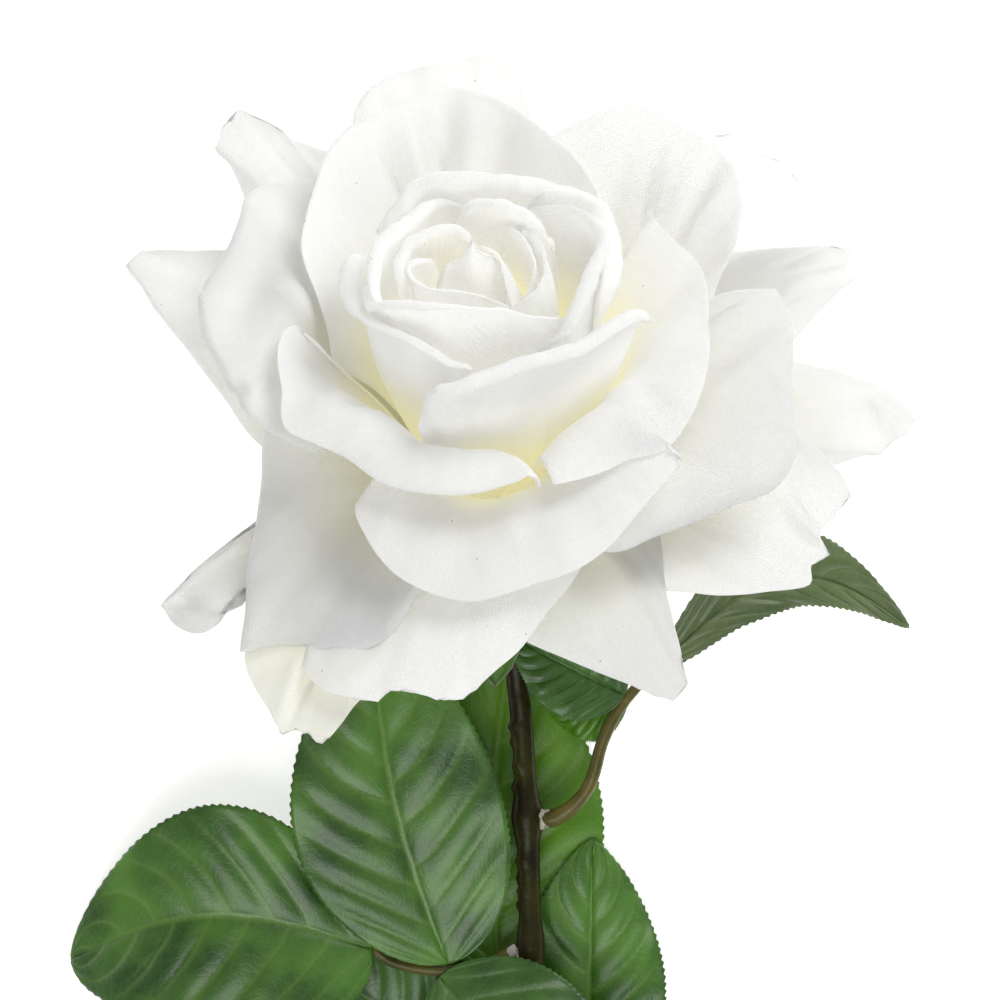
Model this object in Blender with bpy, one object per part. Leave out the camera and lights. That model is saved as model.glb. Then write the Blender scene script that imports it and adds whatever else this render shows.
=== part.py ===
"""Artificial rose: an open flower on one leafy stem, lying on a table.

The head is drawn about its own axis in flower coordinates: azimuth in degrees round the axis (0 to the
right, 90 to the back), radius and height in millimetres from the middle of the receptacle. The stem and
the leaves are drawn in table coordinates, in millimetres, +Z up, the head at the +Y end.
"""

import math

import bmesh
import bpy
import numpy as np
from mathutils import Vector
from mathutils.bvhtree import BVHTree

MM = 0.001

# Driving dimensions, mm and degrees
HEAD_CENTRE = np.array([0.0, 130.0, 40.0])      # middle of the receptacle on the table
AXIS_RISE = 50.0                                # the flower's axis above the table
PETAL_THICKNESS = 0.45
PETAL_CLEARANCE = 1.0                           # least distance between the middles of two petals
PETAL_CELLS = (8, 6)                            # across and along a petal
HEART_LEAN = (-0.06, -0.08)                     # the heart leans to the front left, mm per mm of height
HEART_PETALS = 4

FOOT_RADIUS = 2.2                               # the innermost petal's foot on the receptacle
FOOT_PITCH = 0.30                               # each next foot is this much further out
FOOT_DROP = 0.22                                # and this much lower
FOOT_SHARE = 0.45                               # a foot's share of its petal's angle

LEAF_THICKNESS = 0.5
LEAF_CELLS = (6, 8)
STEM_RADIUS = 2.1
STALK_RADIUS = 0.9
SEPAL_COUNT = 5
GAP = 0.3                                       # between pieces that touch

PETAL_COLOUR = (0.86, 0.86, 0.82, 1.0)
HEART_COLOUR = (0.87, 0.85, 0.72, 1.0)
LEAF_COLOUR = (0.055, 0.17, 0.045, 1.0)
STEM_COLOUR = (0.10, 0.085, 0.035, 1.0)

# Petals from the heart outwards. Each has its lean from the axis at the foot, then at the left, the
# middle and the right of the rim (over 90 is turned back), how full it is, and its rim as five points
# (azimuth, radius, height) anticlockwise.
PETALS = [
    ("petal_heart", (15, -30, -30, -30), 1.0,
     [(150, 5, 49), (195, 5, 55), (245, 2, 61), (310, 4, 58), (10, 5, 51)]),
    ("petal_heart_wrap", (20, -25, -25, -25), 1.0,
     [(300, 7, 48), (330, 7, 54), (10, 6, 57), (50, 5, 57), (90, 5, 53)]),
    ("petal_heart_right", (25, -10, -10, -10), 1.0,
     [(300, 10, 46), (325, 11, 52), (350, 12, 55), (20, 11, 56), (60, 9, 52)]),
    ("petal_heart_front", (30, -10, -10, -10), 1.0,
     [(176, 11, 50), (205, 11, 54), (240, 9, 55), (275, 9, 55), (310, 9, 49)]),
    ("petal_inner_left", (30, -10, -10, -10), 0.9,
     [(110, 11, 52), (138, 12, 54), (164, 16, 55), (193, 17, 55), (215, 17, 50)]),
    ("petal_inner_right", (30, -10, -10, -10), 0.9,
     [(285, 12, 50), (310, 13, 55), (340, 13, 56), (10, 12, 56), (50, 12, 51)]),
    ("petal_inner_back", (35, -10, -10, -10), 0.9,
     [(13, 16, 48), (45, 14, 54), (82, 14, 55), (116, 15, 55), (140, 17, 50)]),
    ("petal_middle_left", (35, -10, -10, -10), 0.9,
     [(110, 18, 50), (145, 18, 55), (174, 21, 56), (200, 21, 55), (222, 21, 49)]),
    ("petal_middle_front", (35, -10, -10, -10), 0.9,
     [(196, 20, 50), (222, 19, 56), (250, 17, 58), (283, 16, 57), (317, 16, 50)]),
    ("petal_cup_right", (40, -5, -5, -5), 0.9,
     [(294, 20, 50), (322, 18, 56), (357, 19, 57), (36, 22, 53), (68, 24, 48)]),
    ("petal_cup_back", (40, 0, 0, 0), 0.9,
     [(45, 26, 45), (69, 22, 52), (97, 22, 54), (123, 24, 52), (150, 26, 45)]),
    ("petal_cup_far_right", (45, 5, 5, 5), 0.9,
     [(335, 24, 44), (359, 23, 50), (25, 25, 52), (41, 27, 50), (64, 30, 42)]),
    ("petal_cup_left", (45, 10, 10, 10), 0.9,
     [(150, 28, 42), (177, 27, 48), (200, 26, 50), (228, 25, 52), (262, 24, 49)]),
    ("petal_cup_front", (45, 15, 15, 15), 0.9,
     [(240, 30, 40), (252, 28, 50), (280, 26, 55), (318, 26, 54), (355, 28, 44)]),
    ("petal_bowl_right", (55, 40, 60, 60), 0.9,
     [(310, 39, 36), (328, 42, 43), (353, 38, 46), (20, 36, 44), (46, 36, 38)]),
    ("petal_bowl_left_front", (42, 35, 110, 135), 1.15,
     [(186, 40, 40), (210, 43, 38), (232, 42, 37), (256, 40, 34), (285, 38, 36)]),
    ("petal_bowl_front", (42, 120, 125, 100), 1.35,
     [(236, 44, 28), (251, 50, 23), (269, 49, 21), (295, 47, 27), (316, 45, 35)]),
    ("petal_bowl_left", (55, 60, 90, 80), 1.0,
     [(125, 47, 35), (143, 54, 39), (174, 53, 38), (198, 48, 35), (222, 43, 31)]),
    ("petal_bowl_back", (50, 50, 45, 50), 0.9,
     [(50, 38, 40), (72, 42, 46), (94, 47, 47), (123, 47, 45), (155, 44, 38)]),
    ("petal_fan_right_front", (48, 120, 100, 60), 1.15,
     [(297, 45, 25), (324, 52, 27), (340, 54, 30), (357, 51, 32), (14, 50, 34)]),
    ("petal_fan_right_back", (55, 60, 60, 60), 0.9,
     [(12, 42, 30), (33, 52, 34), (45, 58, 36), (64, 56, 40), (82, 50, 38)]),
    ("petal_fan_left_back", (60, 70, 90, 90), 1.0,
     [(112, 50, 32), (125, 66, 33), (133, 73, 33), (138, 68, 31), (146, 58, 27)]),
    ("petal_fan_left_front", (46, 110, 125, 110), 1.35,
     [(196, 44, 27), (218, 57, 18), (229, 66, 10), (244, 59, 13), (257, 50, 18)]),
    ("petal_fan_left", (65, 95, 95, 95), 1.0,
     [(148, 52, 30), (155, 65, 29), (160, 72, 28), (173, 58, 24), (200, 48, 18)]),
    ("petal_fan_right", (65, 90, 90, 90), 1.0,
     [(8, 54, 20), (17, 66, 21), (23, 71, 22), (29, 66, 25), (36, 54, 28)]),
    ("petal_skirt_front", (47, 125, 125, 115), 1.45,
     [(236, 61, 15), (251, 65, 11), (265, 62, 12), (280, 54, 16), (294, 46, 21)]),
    ("petal_skirt_front_right", (50, 110, 120, 110), 1.4,
     [(274, 47, 12), (286, 56, 8), (298, 63, 5), (306, 59, 8), (314, 50, 15)]),
    ("petal_skirt_right_front", (58, 110, 110, 100), 1.2,
     [(302, 50, 10), (315, 58, 9), (327, 65, 8), (340, 66, 14), (352, 55, 18)]),
    ("petal_skirt_right", (65, 95, 95, 95), 1.0,
     [(346, 58, 13), (353, 70, 14), (357, 76, 16), (3, 68, 17), (12, 56, 17)]),
    ("petal_skirt_back", (60, 70, 75, 75), 1.0,
     [(78, 54, 30), (87, 64, 36), (99, 66, 38), (110, 63, 36), (122, 57, 29)]),
    ("petal_skirt_right_back", (70, 85, 85, 85), 1.0,
     [(26, 62, 21), (33, 70, 23), (41, 72, 25), (52, 69, 28), (62, 63, 28)]),
    ("petal_hem_left_front", (70, 115, 115, 115), 1.2,
     [(203, 52, 14), (211, 66, 12), (216, 72, 9), (223, 68, 5), (230, 58, 6)]),
    ("petal_hem_front_left", (72, 120, 120, 120), 1.2,
     [(226, 58, 6), (235, 68, 2), (242, 71, 1), (250, 67, 3), (258, 59, 6)]),
    ("petal_hem_back", (80, 100, 100, 100), 1.0,
     [(60, 54, 3), (74, 62, 3), (92, 64, 3), (110, 61, 3), (124, 52, 4)]),
]

# Receptacle: its outline as (radius, height) from the top down to the stem
RECEPTACLE = [(0.0, 0.6), (2.2, -0.9), (12.6, -8.9), (12.9, -9.6), (12.0, -10.8), (7.5, -14.5),
              (4.2, -18.0), (3.0, -21.0), (0.0, -21.0)]
RECEPTACLE_SIDES = 24

# Stem's centre line on the table, after it leaves the receptacle along the flower's axis
STEM_ROUTE = [(1.6, 104.5, 16.0), (3.8, 92.0, 10.6), (5.6, 72.0, 8.6), (6.6, 45.0, 8.2), (6.8, 10.0, 7.6),
              (5.0, -40.0, 6.0), (1.5, -95.0, 4.2), (-2.0, -150.0, 2.6), (-4.0, -204.0, 1.82)]

# Leaf stalks: the point on the stem that each grows from comes first
STALKS = {
    "stalk_left": [(6.6, 38.0, 8.2), (-2.0, 34.5, 8.0), (-11.0, 33.6, 8.0), (-19.0, 35.0, 8.2),
                   (-23.5, 38.0, 8.4)],
    "stalk_right": [(6.4, 62.5, 8.4), (12.0, 63.0, 10.0), (17.5, 68.5, 12.0), (20.5, 78.0, 13.5),
                    (24.5, 85.0, 14.0), (31.0, 92.0, 14.0)],
    "stalk_lower": [(6.8, 6.0, 7.6), (1.5, 7.5, 5.0), (-0.5, 14.0, 3.2), (-0.5, 24.0, 2.4), (0.5, 32.0, 2.0)],
    "stalk_lower_right": [(6.7, -8.0, 7.4), (11.5, -6.5, 5.0), (16.0, -1.0, 3.2), (17.4, 7.0, 2.6)],
}

# Leaf blades: base, tip, width, arch of the midrib, its sideways bend, rise of the two halves from the
# midrib in degrees and roll about it in degrees
LEAVES = [
    ("leaf_left_end", (-23.2, 37.9, 9.9), (-81.0, 35.0, 0.4), 42.0, 8.0, -8.0, 5.0, 0.0),
    ("leaf_left_upper", (-9.0, 35.0, 9.2), (-24.5, 86.0, 15.0), 39.0, 3.0, 3.0, 5.0, 0.0),
    ("leaf_left_lower", (-10.5, 32.5, 9.25), (24.0, -1.0, 10.0), 38.0, 5.0, -2.0, 8.0, 0.0),
    ("leaf_right_end", (30.6, 91.4, 15.4), (79.0, 98.5, 0.5), 20.0, 7.0, 10.0, 5.0, 15.0),
    ("leaf_right_upper", (24.2, 86.1, 15.1), (3.0, 97.0, 18.0), 18.0, 2.0, 0.0, 8.0, 0.0),
    ("leaf_right_lower", (25.0, 85.2, 12.3), (9.5, 84.0, 7.0), 12.0, 0.5, 1.5, 3.0, 0.0),
    ("leaf_lower_upper", (0.6, 32.9, 2.0), (-10.0, 88.0, 1.0), 38.0, 0.2, 0.0, 0.0, 0.0),
    ("leaf_lower_right", (17.5, 7.4, 2.8), (18.5, 58.0, 3.4), 29.0, 0.2, 0.0, 2.0, 0.0),
    ("leaf_lower_end", (-2.6, 14.5, 3.2), (-38.0, 36.0, 0.8), 34.0, 2.0, 0.0, 6.0, 0.0),
]


def to_table(points):
    """Flower-frame points, mm, to table coordinates, mm."""
    points = np.asarray(points, float)
    rise, run = math.sin(math.radians(AXIS_RISE)), math.cos(math.radians(AXIS_RISE))
    x, y, z = points[..., 0], points[..., 1], points[..., 2]
    return np.stack([x, y * rise + z * run, z * rise - y * run], axis=-1) + HEAD_CENTRE


def smooth_curve(points, count):
    """Count + 1 points evenly spread in parameter on a Catmull-Rom curve through the given ones."""
    points = np.asarray(points, float)
    padded = np.vstack([2 * points[0] - points[1], points, 2 * points[-1] - points[-2]])
    spans = len(points) - 1
    out = []
    for k in range(count + 1):
        at = k * spans / count
        span = min(int(at), spans - 1)
        t = at - span
        a, b, c, d = padded[span:span + 4]
        out.append(0.5 * (2 * b + (c - a) * t + (2 * a - 5 * b + 4 * c - d) * t ** 2
                          + (3 * b - a - 3 * c + d) * t ** 3))
    return np.array(out)


def petal_sheet(order, leans, fullness, rim):
    """A petal's middle surface in the flower frame, [across][along], before it meets its neighbours."""
    across, along = PETAL_CELLS
    rim = np.array(rim, float)
    rim[:, 0] = np.degrees(np.unwrap(np.radians(rim[:, 0])))
    edge = smooth_curve(rim, across)
    middle = 0.5 * (rim[0, 0] + rim[-1, 0])
    foot = np.array([FOOT_RADIUS + FOOT_PITCH * order, -FOOT_DROP * order])
    lean_over = HEART_LEAN if order < HEART_PETALS else (0.0, 0.0)
    sheet = np.zeros((across + 1, along + 1, 3))
    for i, (azimuth, radius, height) in enumerate(edge):
        end = np.array([radius, height])
        rim_lean = np.interp(i / across, (0.0, 0.5, 1.0), leans[1:])
        starts, ends = (fullness * np.linalg.norm(end - foot)
                        * np.array([math.sin(math.radians(a)), math.cos(math.radians(a))])
                        for a in (leans[0], rim_lean))
        for j in range(along + 1):
            t = j / along
            r, h = ((2 * t ** 3 - 3 * t ** 2 + 1) * foot + (3 * t ** 2 - 2 * t ** 3) * end
                    + (t ** 3 - 2 * t ** 2 + t) * starts + (t ** 3 - t ** 2) * ends)
            fan = FOOT_SHARE + (1 - FOOT_SHARE) * (1 - (1 - t) ** 2.2)
            angle = math.radians(middle + (azimuth - middle) * fan)
            sheet[i, j] = (r * math.cos(angle) + lean_over[0] * h, r * math.sin(angle) + lean_over[1] * h, h)
    return sheet


def sheet_faces(across, along):
    """Quads of a sheet whose points are numbered across first."""
    row = along + 1
    return [(i * row + j, (i + 1) * row + j, (i + 1) * row + j + 1, i * row + j + 1)
            for i in range(across) for j in range(along)]


def sheet_tree(sheet):
    """Search tree over a sheet, its faces looking away from the flower's axis."""
    faces = sheet_faces(sheet.shape[0] - 1, sheet.shape[1] - 1)
    return BVHTree.FromPolygons([tuple(p) for p in sheet.reshape(-1, 3)], faces), faces


def soften(shift):
    """Average of a shift field with its neighbours on the sheet."""
    padded = np.pad(shift, ((1, 1), (1, 1), (0, 0)), mode="edge")
    around = (padded[:-2, 1:-1] + padded[2:, 1:-1] + padded[1:-1, :-2] + padded[1:-1, 2:]) / 4
    return 0.5 * (shift + around)


def missing_gap(point, near, normal, distance):
    """How far a point must still go along the outward side of a petal next to it."""
    side = (point - near).dot(normal)
    beyond_edge = distance - abs(side) > 0.25 * distance + GAP
    return max(0.0, PETAL_CLEARANCE - (distance if beyond_edge else side))


def same_side(a, b):
    """Whether two points lie on the same side of the flower's axis."""
    return a.x * b.x + a.y * b.y > 0.5 * math.hypot(a.x, a.y) * math.hypot(b.x, b.y)


def press_outward(sheet, placed, reach=6.0, touch=2.0, step=2.0, rounds=40):
    """Moves a petal out until it clears every petal already in place, inside it."""
    sheet = sheet.copy()
    for _ in range(rounds):
        shift = np.zeros_like(sheet)
        size = np.zeros(sheet.shape[:2])
        tree, faces = sheet_tree(sheet)
        for inner_tree, inner_points in placed:
            for index, place in enumerate(sheet.reshape(-1, 3)):
                point = Vector(place)
                near, normal, _, distance = inner_tree.find_nearest(point, reach)
                if near is None or not same_side(point, near):
                    continue
                push = min(step, missing_gap(point, near, normal, distance))
                i, j = divmod(index, sheet.shape[1])
                if push > size[i, j]:
                    size[i, j], shift[i, j] = push, np.array(normal) * push
            for point in inner_points:
                near, normal, face, distance = tree.find_nearest(point, touch)
                if near is None or not same_side(point, near):
                    continue
                push = min(step, missing_gap(-point, -near, normal, distance))
                for corner in faces[face]:
                    i, j = divmod(corner, sheet.shape[1])
                    if push > size[i, j]:
                        size[i, j], shift[i, j] = push, np.array(normal) * push
        if size.max() < 0.02:
            break
        eased = soften(soften(shift))
        smaller = np.linalg.norm(eased, axis=2, keepdims=True) < np.linalg.norm(shift, axis=2, keepdims=True)
        sheet += np.where(smaller, shift, eased)
    return sheet


def leaf_sheet(base, tip, width, arch, bend, fold, roll):
    """A leaf blade's middle surface on the table, [across][along], its halves raised from the midrib."""
    across, along = LEAF_CELLS
    base, tip = np.array(base, float), np.array(tip, float)
    chord = tip - base
    side = np.cross((0.0, 0.0, 1.0), chord)
    side /= np.linalg.norm(side)
    up = np.cross(chord, side)
    up /= np.linalg.norm(up)
    turn = math.radians(roll)
    across_way = side * math.cos(turn) + up * math.sin(turn)
    upward = up * math.cos(turn) - side * math.sin(turn)
    lift = math.radians(fold)
    sheet = np.zeros((across + 1, along + 1, 3))
    for j in range(along + 1):
        t = j / along
        midrib = base + chord * t + (up * arch + side * bend) * math.sin(math.pi * t)
        half = width / 2 * max(math.sin(math.pi * t ** 0.8) ** 0.7, 0.05)
        for i in range(across + 1):
            w = 1 - 2 * i / across
            sheet[i, j] = midrib + half * (across_way * w * math.cos(lift) + upward * abs(w) * math.sin(lift))
    return sheet


def sepal_sheet(azimuth):
    """A sepal's middle surface in the flower frame: a narrow pointed leaf that bends down and out."""
    across, along = 4, 7
    sheet = np.zeros((across + 1, along + 1, 3))
    for j in range(along + 1):
        t = j / along
        radius = 11.4 + 24.0 * t
        height = -12.9 - 3.0 * t - 6.0 * t ** 2
        half = 5.5 * (1 - t) ** 0.6 * (1 + 1.2 * t) if t < 1 else 0.4
        for i in range(across + 1):
            w = 2 * i / across - 1
            angle = math.radians(azimuth) + math.atan2(half * w, radius)
            reach = math.hypot(radius, half * w)
            sheet[i, j] = (reach * math.cos(angle), reach * math.sin(angle), height + 1.2 * w * w)
    return sheet


def plain_material(name, colour, roughness):
    material = bpy.data.materials.new(name)
    material.use_nodes = True
    shader = material.node_tree.nodes["Principled BSDF"]
    shader.inputs["Base Color"].default_value = colour
    shader.inputs["Roughness"].default_value = roughness
    shader.inputs["Metallic"].default_value = 0.0
    return material


def add_object(name, data, colour, roughness):
    obj = bpy.data.objects.new(name, data)
    bpy.context.scene.collection.objects.link(obj)
    data.materials.append(plain_material(name, colour, roughness))
    return obj


def sheet_object(name, table_sheet, thickness, colour, roughness):
    """A cloth piece: a grid laid on its middle surface and thickened evenly both ways."""
    across, along = table_sheet.shape[0] - 1, table_sheet.shape[1] - 1
    bm = bmesh.new()
    bmesh.ops.create_grid(bm, x_segments=along, y_segments=across, size=1.0)
    for vert, place in zip(bm.verts, table_sheet.reshape(-1, 3)):
        vert.co = Vector(place) * MM
    for face in bm.faces:
        face.smooth = True
    mesh = bpy.data.meshes.new(name)
    bm.to_mesh(mesh)
    bm.free()
    obj = add_object(name, mesh, colour, roughness)
    wall = obj.modifiers.new("cloth", "SOLIDIFY")
    wall.thickness = thickness * MM
    wall.offset = 0.0
    return obj


def rod_object(name, route, radii, colour, roughness, sides=2):
    """A moulded rod: a bevelled curve with filled ends whose thickness follows the given radii."""
    curve = bpy.data.curves.new(name, "CURVE")
    curve.dimensions = "3D"
    curve.bevel_depth = MM
    curve.bevel_resolution = sides
    curve.use_fill_caps = True
    spline = curve.splines.new("POLY")
    spline.points.add(len(route) - 1)
    for point, place, radius in zip(spline.points, route, radii):
        point.co = (*(Vector(place) * MM), 1.0)
        point.radius = radius
    spline.use_smooth = True
    return add_object(name, curve, colour, roughness)


def receptacle_object():
    """The moulded cup that carries the petals: its outline turned round the flower's axis."""
    bm = bmesh.new()
    verts = [bm.verts.new((r, 0.0, h)) for r, h in RECEPTACLE]
    edges = [bm.edges.new(pair) for pair in zip(verts[:-1], verts[1:])]
    bmesh.ops.spin(bm, geom=verts + edges, cent=(0, 0, 0), axis=(0, 0, 1), angle=math.tau,
                   steps=RECEPTACLE_SIDES, use_merge=True)
    bmesh.ops.remove_doubles(bm, verts=bm.verts[:], dist=0.01)
    for vert in bm.verts:
        vert.co = Vector(to_table(vert.co)) * MM
    bmesh.ops.recalc_face_normals(bm, faces=bm.faces[:])
    for face in bm.faces:
        face.smooth = True
    mesh = bpy.data.meshes.new("receptacle")
    bm.to_mesh(mesh)
    bm.free()
    return add_object("receptacle", mesh, STEM_COLOUR, 0.5)


for old in list(bpy.data.objects):
    bpy.data.objects.remove(old)

receptacle_object()

placed_petals = []
for order, (name, leans, fullness, rim) in enumerate(PETALS):
    sheet = press_outward(petal_sheet(order, leans, fullness, rim), placed_petals)
    placed_petals.append((sheet_tree(sheet)[0], [Vector(p) for p in sheet.reshape(-1, 3)]))
    colour = HEART_COLOUR if order < HEART_PETALS else PETAL_COLOUR
    sheet_object(name, to_table(sheet)[::-1], PETAL_THICKNESS, colour, 0.6)

for k in range(SEPAL_COUNT):
    sepal = to_table(sepal_sheet(54.0 + k * 360.0 / SEPAL_COUNT))[::-1]
    sheet_object(f"sepal_{k + 1}", sepal, LEAF_THICKNESS, LEAF_COLOUR, 0.5)

stem_top = to_table((0.0, 0.0, RECEPTACLE[-1][1] - GAP))
stem_route = smooth_curve([stem_top, to_table((0.0, 0.0, RECEPTACLE[-1][1] - 6.0)), *STEM_ROUTE], 40)
rod_object("stem", stem_route, np.linspace(STEM_RADIUS, STEM_RADIUS - 0.3, len(stem_route)), STEM_COLOUR, 0.35)

for name, route in STALKS.items():
    centre_line = smooth_curve(route, 12)
    away = np.linalg.norm(centre_line - centre_line[0], axis=1) > STEM_RADIUS + GAP
    kept = centre_line[away]
    rod_object(name, kept, np.linspace(1.5, STALK_RADIUS, len(kept)), STEM_COLOUR, 0.4)

for name, *shape in LEAVES:
    sheet_object(name, leaf_sheet(*shape), LEAF_THICKNESS, LEAF_COLOUR, 0.5)
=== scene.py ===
"""Artificial white rose: stiffened satin petals round a moulded receptacle, cloth leaves pressed with veins,
and a wire stem in moulded plastic. Lengths are millimetres until a mesh is written, which is in metres.
"""

import math
from functools import partial
from itertools import count

import bmesh
import bpy
import numpy as np
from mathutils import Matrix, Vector, noise
from mathutils.bvhtree import BVHTree


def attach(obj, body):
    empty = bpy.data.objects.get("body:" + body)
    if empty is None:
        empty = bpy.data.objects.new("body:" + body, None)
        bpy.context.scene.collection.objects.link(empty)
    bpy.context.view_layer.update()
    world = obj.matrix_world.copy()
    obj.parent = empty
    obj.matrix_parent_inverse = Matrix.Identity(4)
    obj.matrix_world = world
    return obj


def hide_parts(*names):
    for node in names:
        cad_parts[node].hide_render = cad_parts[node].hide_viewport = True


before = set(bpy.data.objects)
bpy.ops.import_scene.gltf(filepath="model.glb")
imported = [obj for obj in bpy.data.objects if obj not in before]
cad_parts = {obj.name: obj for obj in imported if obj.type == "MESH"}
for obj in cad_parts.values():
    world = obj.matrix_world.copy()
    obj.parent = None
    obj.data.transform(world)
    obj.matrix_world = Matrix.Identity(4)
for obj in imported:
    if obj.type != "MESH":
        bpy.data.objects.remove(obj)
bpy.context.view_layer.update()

# ---------------------------------------------------------------------------------------------------------
# Receptacle: the cup that every petal foot is glued to. It is injection-moulded from brown-green plastic,
# turned about the flower's axis, with shallow flutes where the petal feet wrap over it.
HEAD_CENTRE = np.array([0.0, 130.0, 40.0])
AXIS_RISE = math.radians(50.0)
CUP_OUTLINE = [(0.0, 0.6), (2.2, -0.9), (7.4, -4.9), (12.3, -8.6), (12.8, -9.1), (12.9, -9.6), (12.7, -10.2),
               (12.0, -10.8), (9.8, -12.5), (7.5, -14.5), (5.6, -16.2), (4.2, -18.0), (3.3, -19.6),
               (3.0, -20.6), (2.7, -21.0), (0.0, -21.0)]
CUP_FLUTES, FLUTE_DEPTH = 15, 0.05              # how many, and their depth as a share of the radius
FLUTES_FROM, FLUTES_TO, FLUTE_FADE = -20.0, -9.0, 3.0    # heights they run between, and how far they fade
GLUE_LINE = -9.5                                # height above which the cup is coated with glue
MM = 0.001                                      # a millimetre in metres


def to_table(points):
    """Points about the flower's axis, mm, to the table's axes, mm."""
    points = np.asarray(points, float)
    x, y, h = points[..., 0], points[..., 1], points[..., 2]
    return np.stack([x, y * math.sin(AXIS_RISE) + h * math.cos(AXIS_RISE),
                     h * math.sin(AXIS_RISE) - y * math.cos(AXIS_RISE)], axis=-1) + HEAD_CENTRE


def wire(tree, node, inputs):
    """Sets a node's inputs: each to a fixed value, or to what another node puts out."""
    for socket, value in inputs.items():
        if isinstance(value, bpy.types.NodeSocket):
            tree.links.new(value, node.inputs[socket])
        else:
            node.inputs[socket].default_value = value


def add_node(tree, kind, inputs, **settings):
    """A new node with its settings and its inputs."""
    node = tree.nodes.new("ShaderNode" + kind)
    for setting, value in settings.items():
        setattr(node, setting, value)
    wire(tree, node, inputs)
    return node


def start_material(name):
    """A new material with its node tree, its shader, and the place on the piece that its patterns read."""
    material = bpy.data.materials.new(name)
    material.use_nodes = True
    tree = material.node_tree
    return material, tree, tree.nodes["Principled BSDF"], add_node(tree, "TexCoord", {}).outputs["Object"]


def moulded_plastic(name, colour, shade, speckle, gloss, specular=0.35):
    """Moulded plastic: two brushed-on tones, fine speckle and a soft gloss."""
    material, tree, shader, place = start_material(name)
    tone = add_node(tree, "TexNoise", {"Vector": place, "Scale": 120.0, "Detail": 3.0})
    ramp = add_node(tree, "ValToRGB", {"Fac": tone.outputs["Fac"]})
    for element, position, shown in zip(ramp.color_ramp.elements, (0.36, 0.66), (shade, colour)):
        element.position = position
        element.color = (*shown, 1.0)
    grain = add_node(tree, "TexNoise", {"Vector": place, "Scale": 900.0}).outputs["Fac"]
    rough = add_node(tree, "MapRange", {"Value": grain, "To Min": gloss - 0.08, "To Max": gloss + 0.12})
    bump = add_node(tree, "Bump", {"Height": grain, "Strength": speckle, "Distance": 0.0003})
    wire(tree, shader, {"Base Color": ramp.outputs["Color"], "Roughness": rough.outputs["Result"],
                        "Normal": bump.outputs["Normal"], "Specular IOR Level": specular})
    return material


def add_piece(name, bm, material, node):
    """Writes a mesh in millimetres as a smooth piece in metres, standing for its CAD node if it has one."""
    for vert in bm.verts:
        vert.co *= MM
    for face in bm.faces:
        face.smooth = True
    mesh = bpy.data.meshes.new(name)
    bm.to_mesh(mesh)
    bm.free()
    mesh.materials.append(material)
    piece = bpy.data.objects.new(name, mesh)
    bpy.context.scene.collection.objects.link(piece)
    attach(piece, "root")
    if node:
        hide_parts(node)
    return piece


stem_brown = moulded_plastic("stem_brown", (0.036, 0.036, 0.004), (0.014, 0.011, 0.002), 0.35, 0.32, 0.2)
dried_glue = moulded_plastic("dried_glue", (0.62, 0.60, 0.54), (0.36, 0.35, 0.30), 0.4, 0.22, specular=0.5)
cup = bmesh.new()
cup_line = [cup.verts.new((r, 0.0, h)) for r, h in CUP_OUTLINE]
cup_edges = [cup.edges.new(pair) for pair in zip(cup_line[:-1], cup_line[1:])]
bmesh.ops.spin(cup, geom=cup_line + cup_edges, cent=(0, 0, 0), axis=(0, 0, 1), angle=math.tau, steps=90,
               use_merge=True)
bmesh.ops.remove_doubles(cup, verts=cup.verts[:], dist=0.001)
for face in cup.faces:
    face.material_index = int(face.calc_center_median().z > GLUE_LINE)
for vert in cup.verts:
    flute = 1.0 - FLUTE_DEPTH / 2 * (1.0 + math.cos(CUP_FLUTES * math.atan2(vert.co.y, vert.co.x)))
    below = min(1.0, max(0.0, (FLUTES_TO - vert.co.z) / FLUTE_FADE))
    above = min(1.0, max(0.0, (vert.co.z - FLUTES_FROM) / FLUTE_FADE))
    vert.co.xy *= 1.0 + (flute - 1.0) * below * above
    vert.co = Vector(to_table(vert.co))
bmesh.ops.recalc_face_normals(cup, faces=cup.faces[:])
cup_piece = add_piece("receptacle_cup", cup, stem_brown, "receptacle")
cup_piece.data.materials.append(dried_glue)

# ---------------------------------------------------------------------------------------------------------
# Heart: four narrow petals wrapped round each other in the middle. Each is a piece of white satin, stiffened
# with size, die-cut, curled over a hot iron and dyed cream towards its foot, then glued by the foot.
PETAL_THICKNESS = 0.38
COLUMNS, ROWS, CURL_ROWS = 60, 36, 6            # cells across and along a petal, and round its curled rim
RIB_STEP = 2                                    # every so many of them is a rib that settles
FOOT_RADIUS, FOOT_PITCH, FOOT_DROP = 2.2, 0.30, 0.22     # the first foot's place, then further out and lower
FOOT_SHARE = 0.62                               # how much of its rim's angle a petal spans at the foot
CALMING = 24                                    # rounds that part a rim's small waves from its outline
RIB_PITCH, CROSS_PITCH = 0.00050, 0.00036       # metres between the weave's ribs, and between the finer ones
RIPPLES = ((1.0, 5.0, 2.0, 7.3), (0.55, 15.0, 2.6, 4.1))    # height, waves across and along, and seed
FOOT_GAP, CLEARANCE = 0.25, 0.9                 # gap to the petals inside, at the foot and further out
FULL_GAP_AT, GLUED_TO = 0.35, 0.12              # shares of the length where the gap is full, and glue ends
REACH, FURTHEST, SLACK = 6.0, 8.0, 0.03         # how deep a clash is looked for, longest push, clash left
OFF_SHEET, OWN_SHARE, AXIS_SHARE = 0.5, 0.45, 0.6    # a ray's start, and how near the far side it may reach
SETTLE_ROUNDS, LAST_ROUNDS, PUSH = 24, 7, 1.3   # all rounds, the last ones that only press, and overshoot
glued_places, glued_faces = [], []              # the ribs of the petals already glued on, inside out
petal_order = count()


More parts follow.
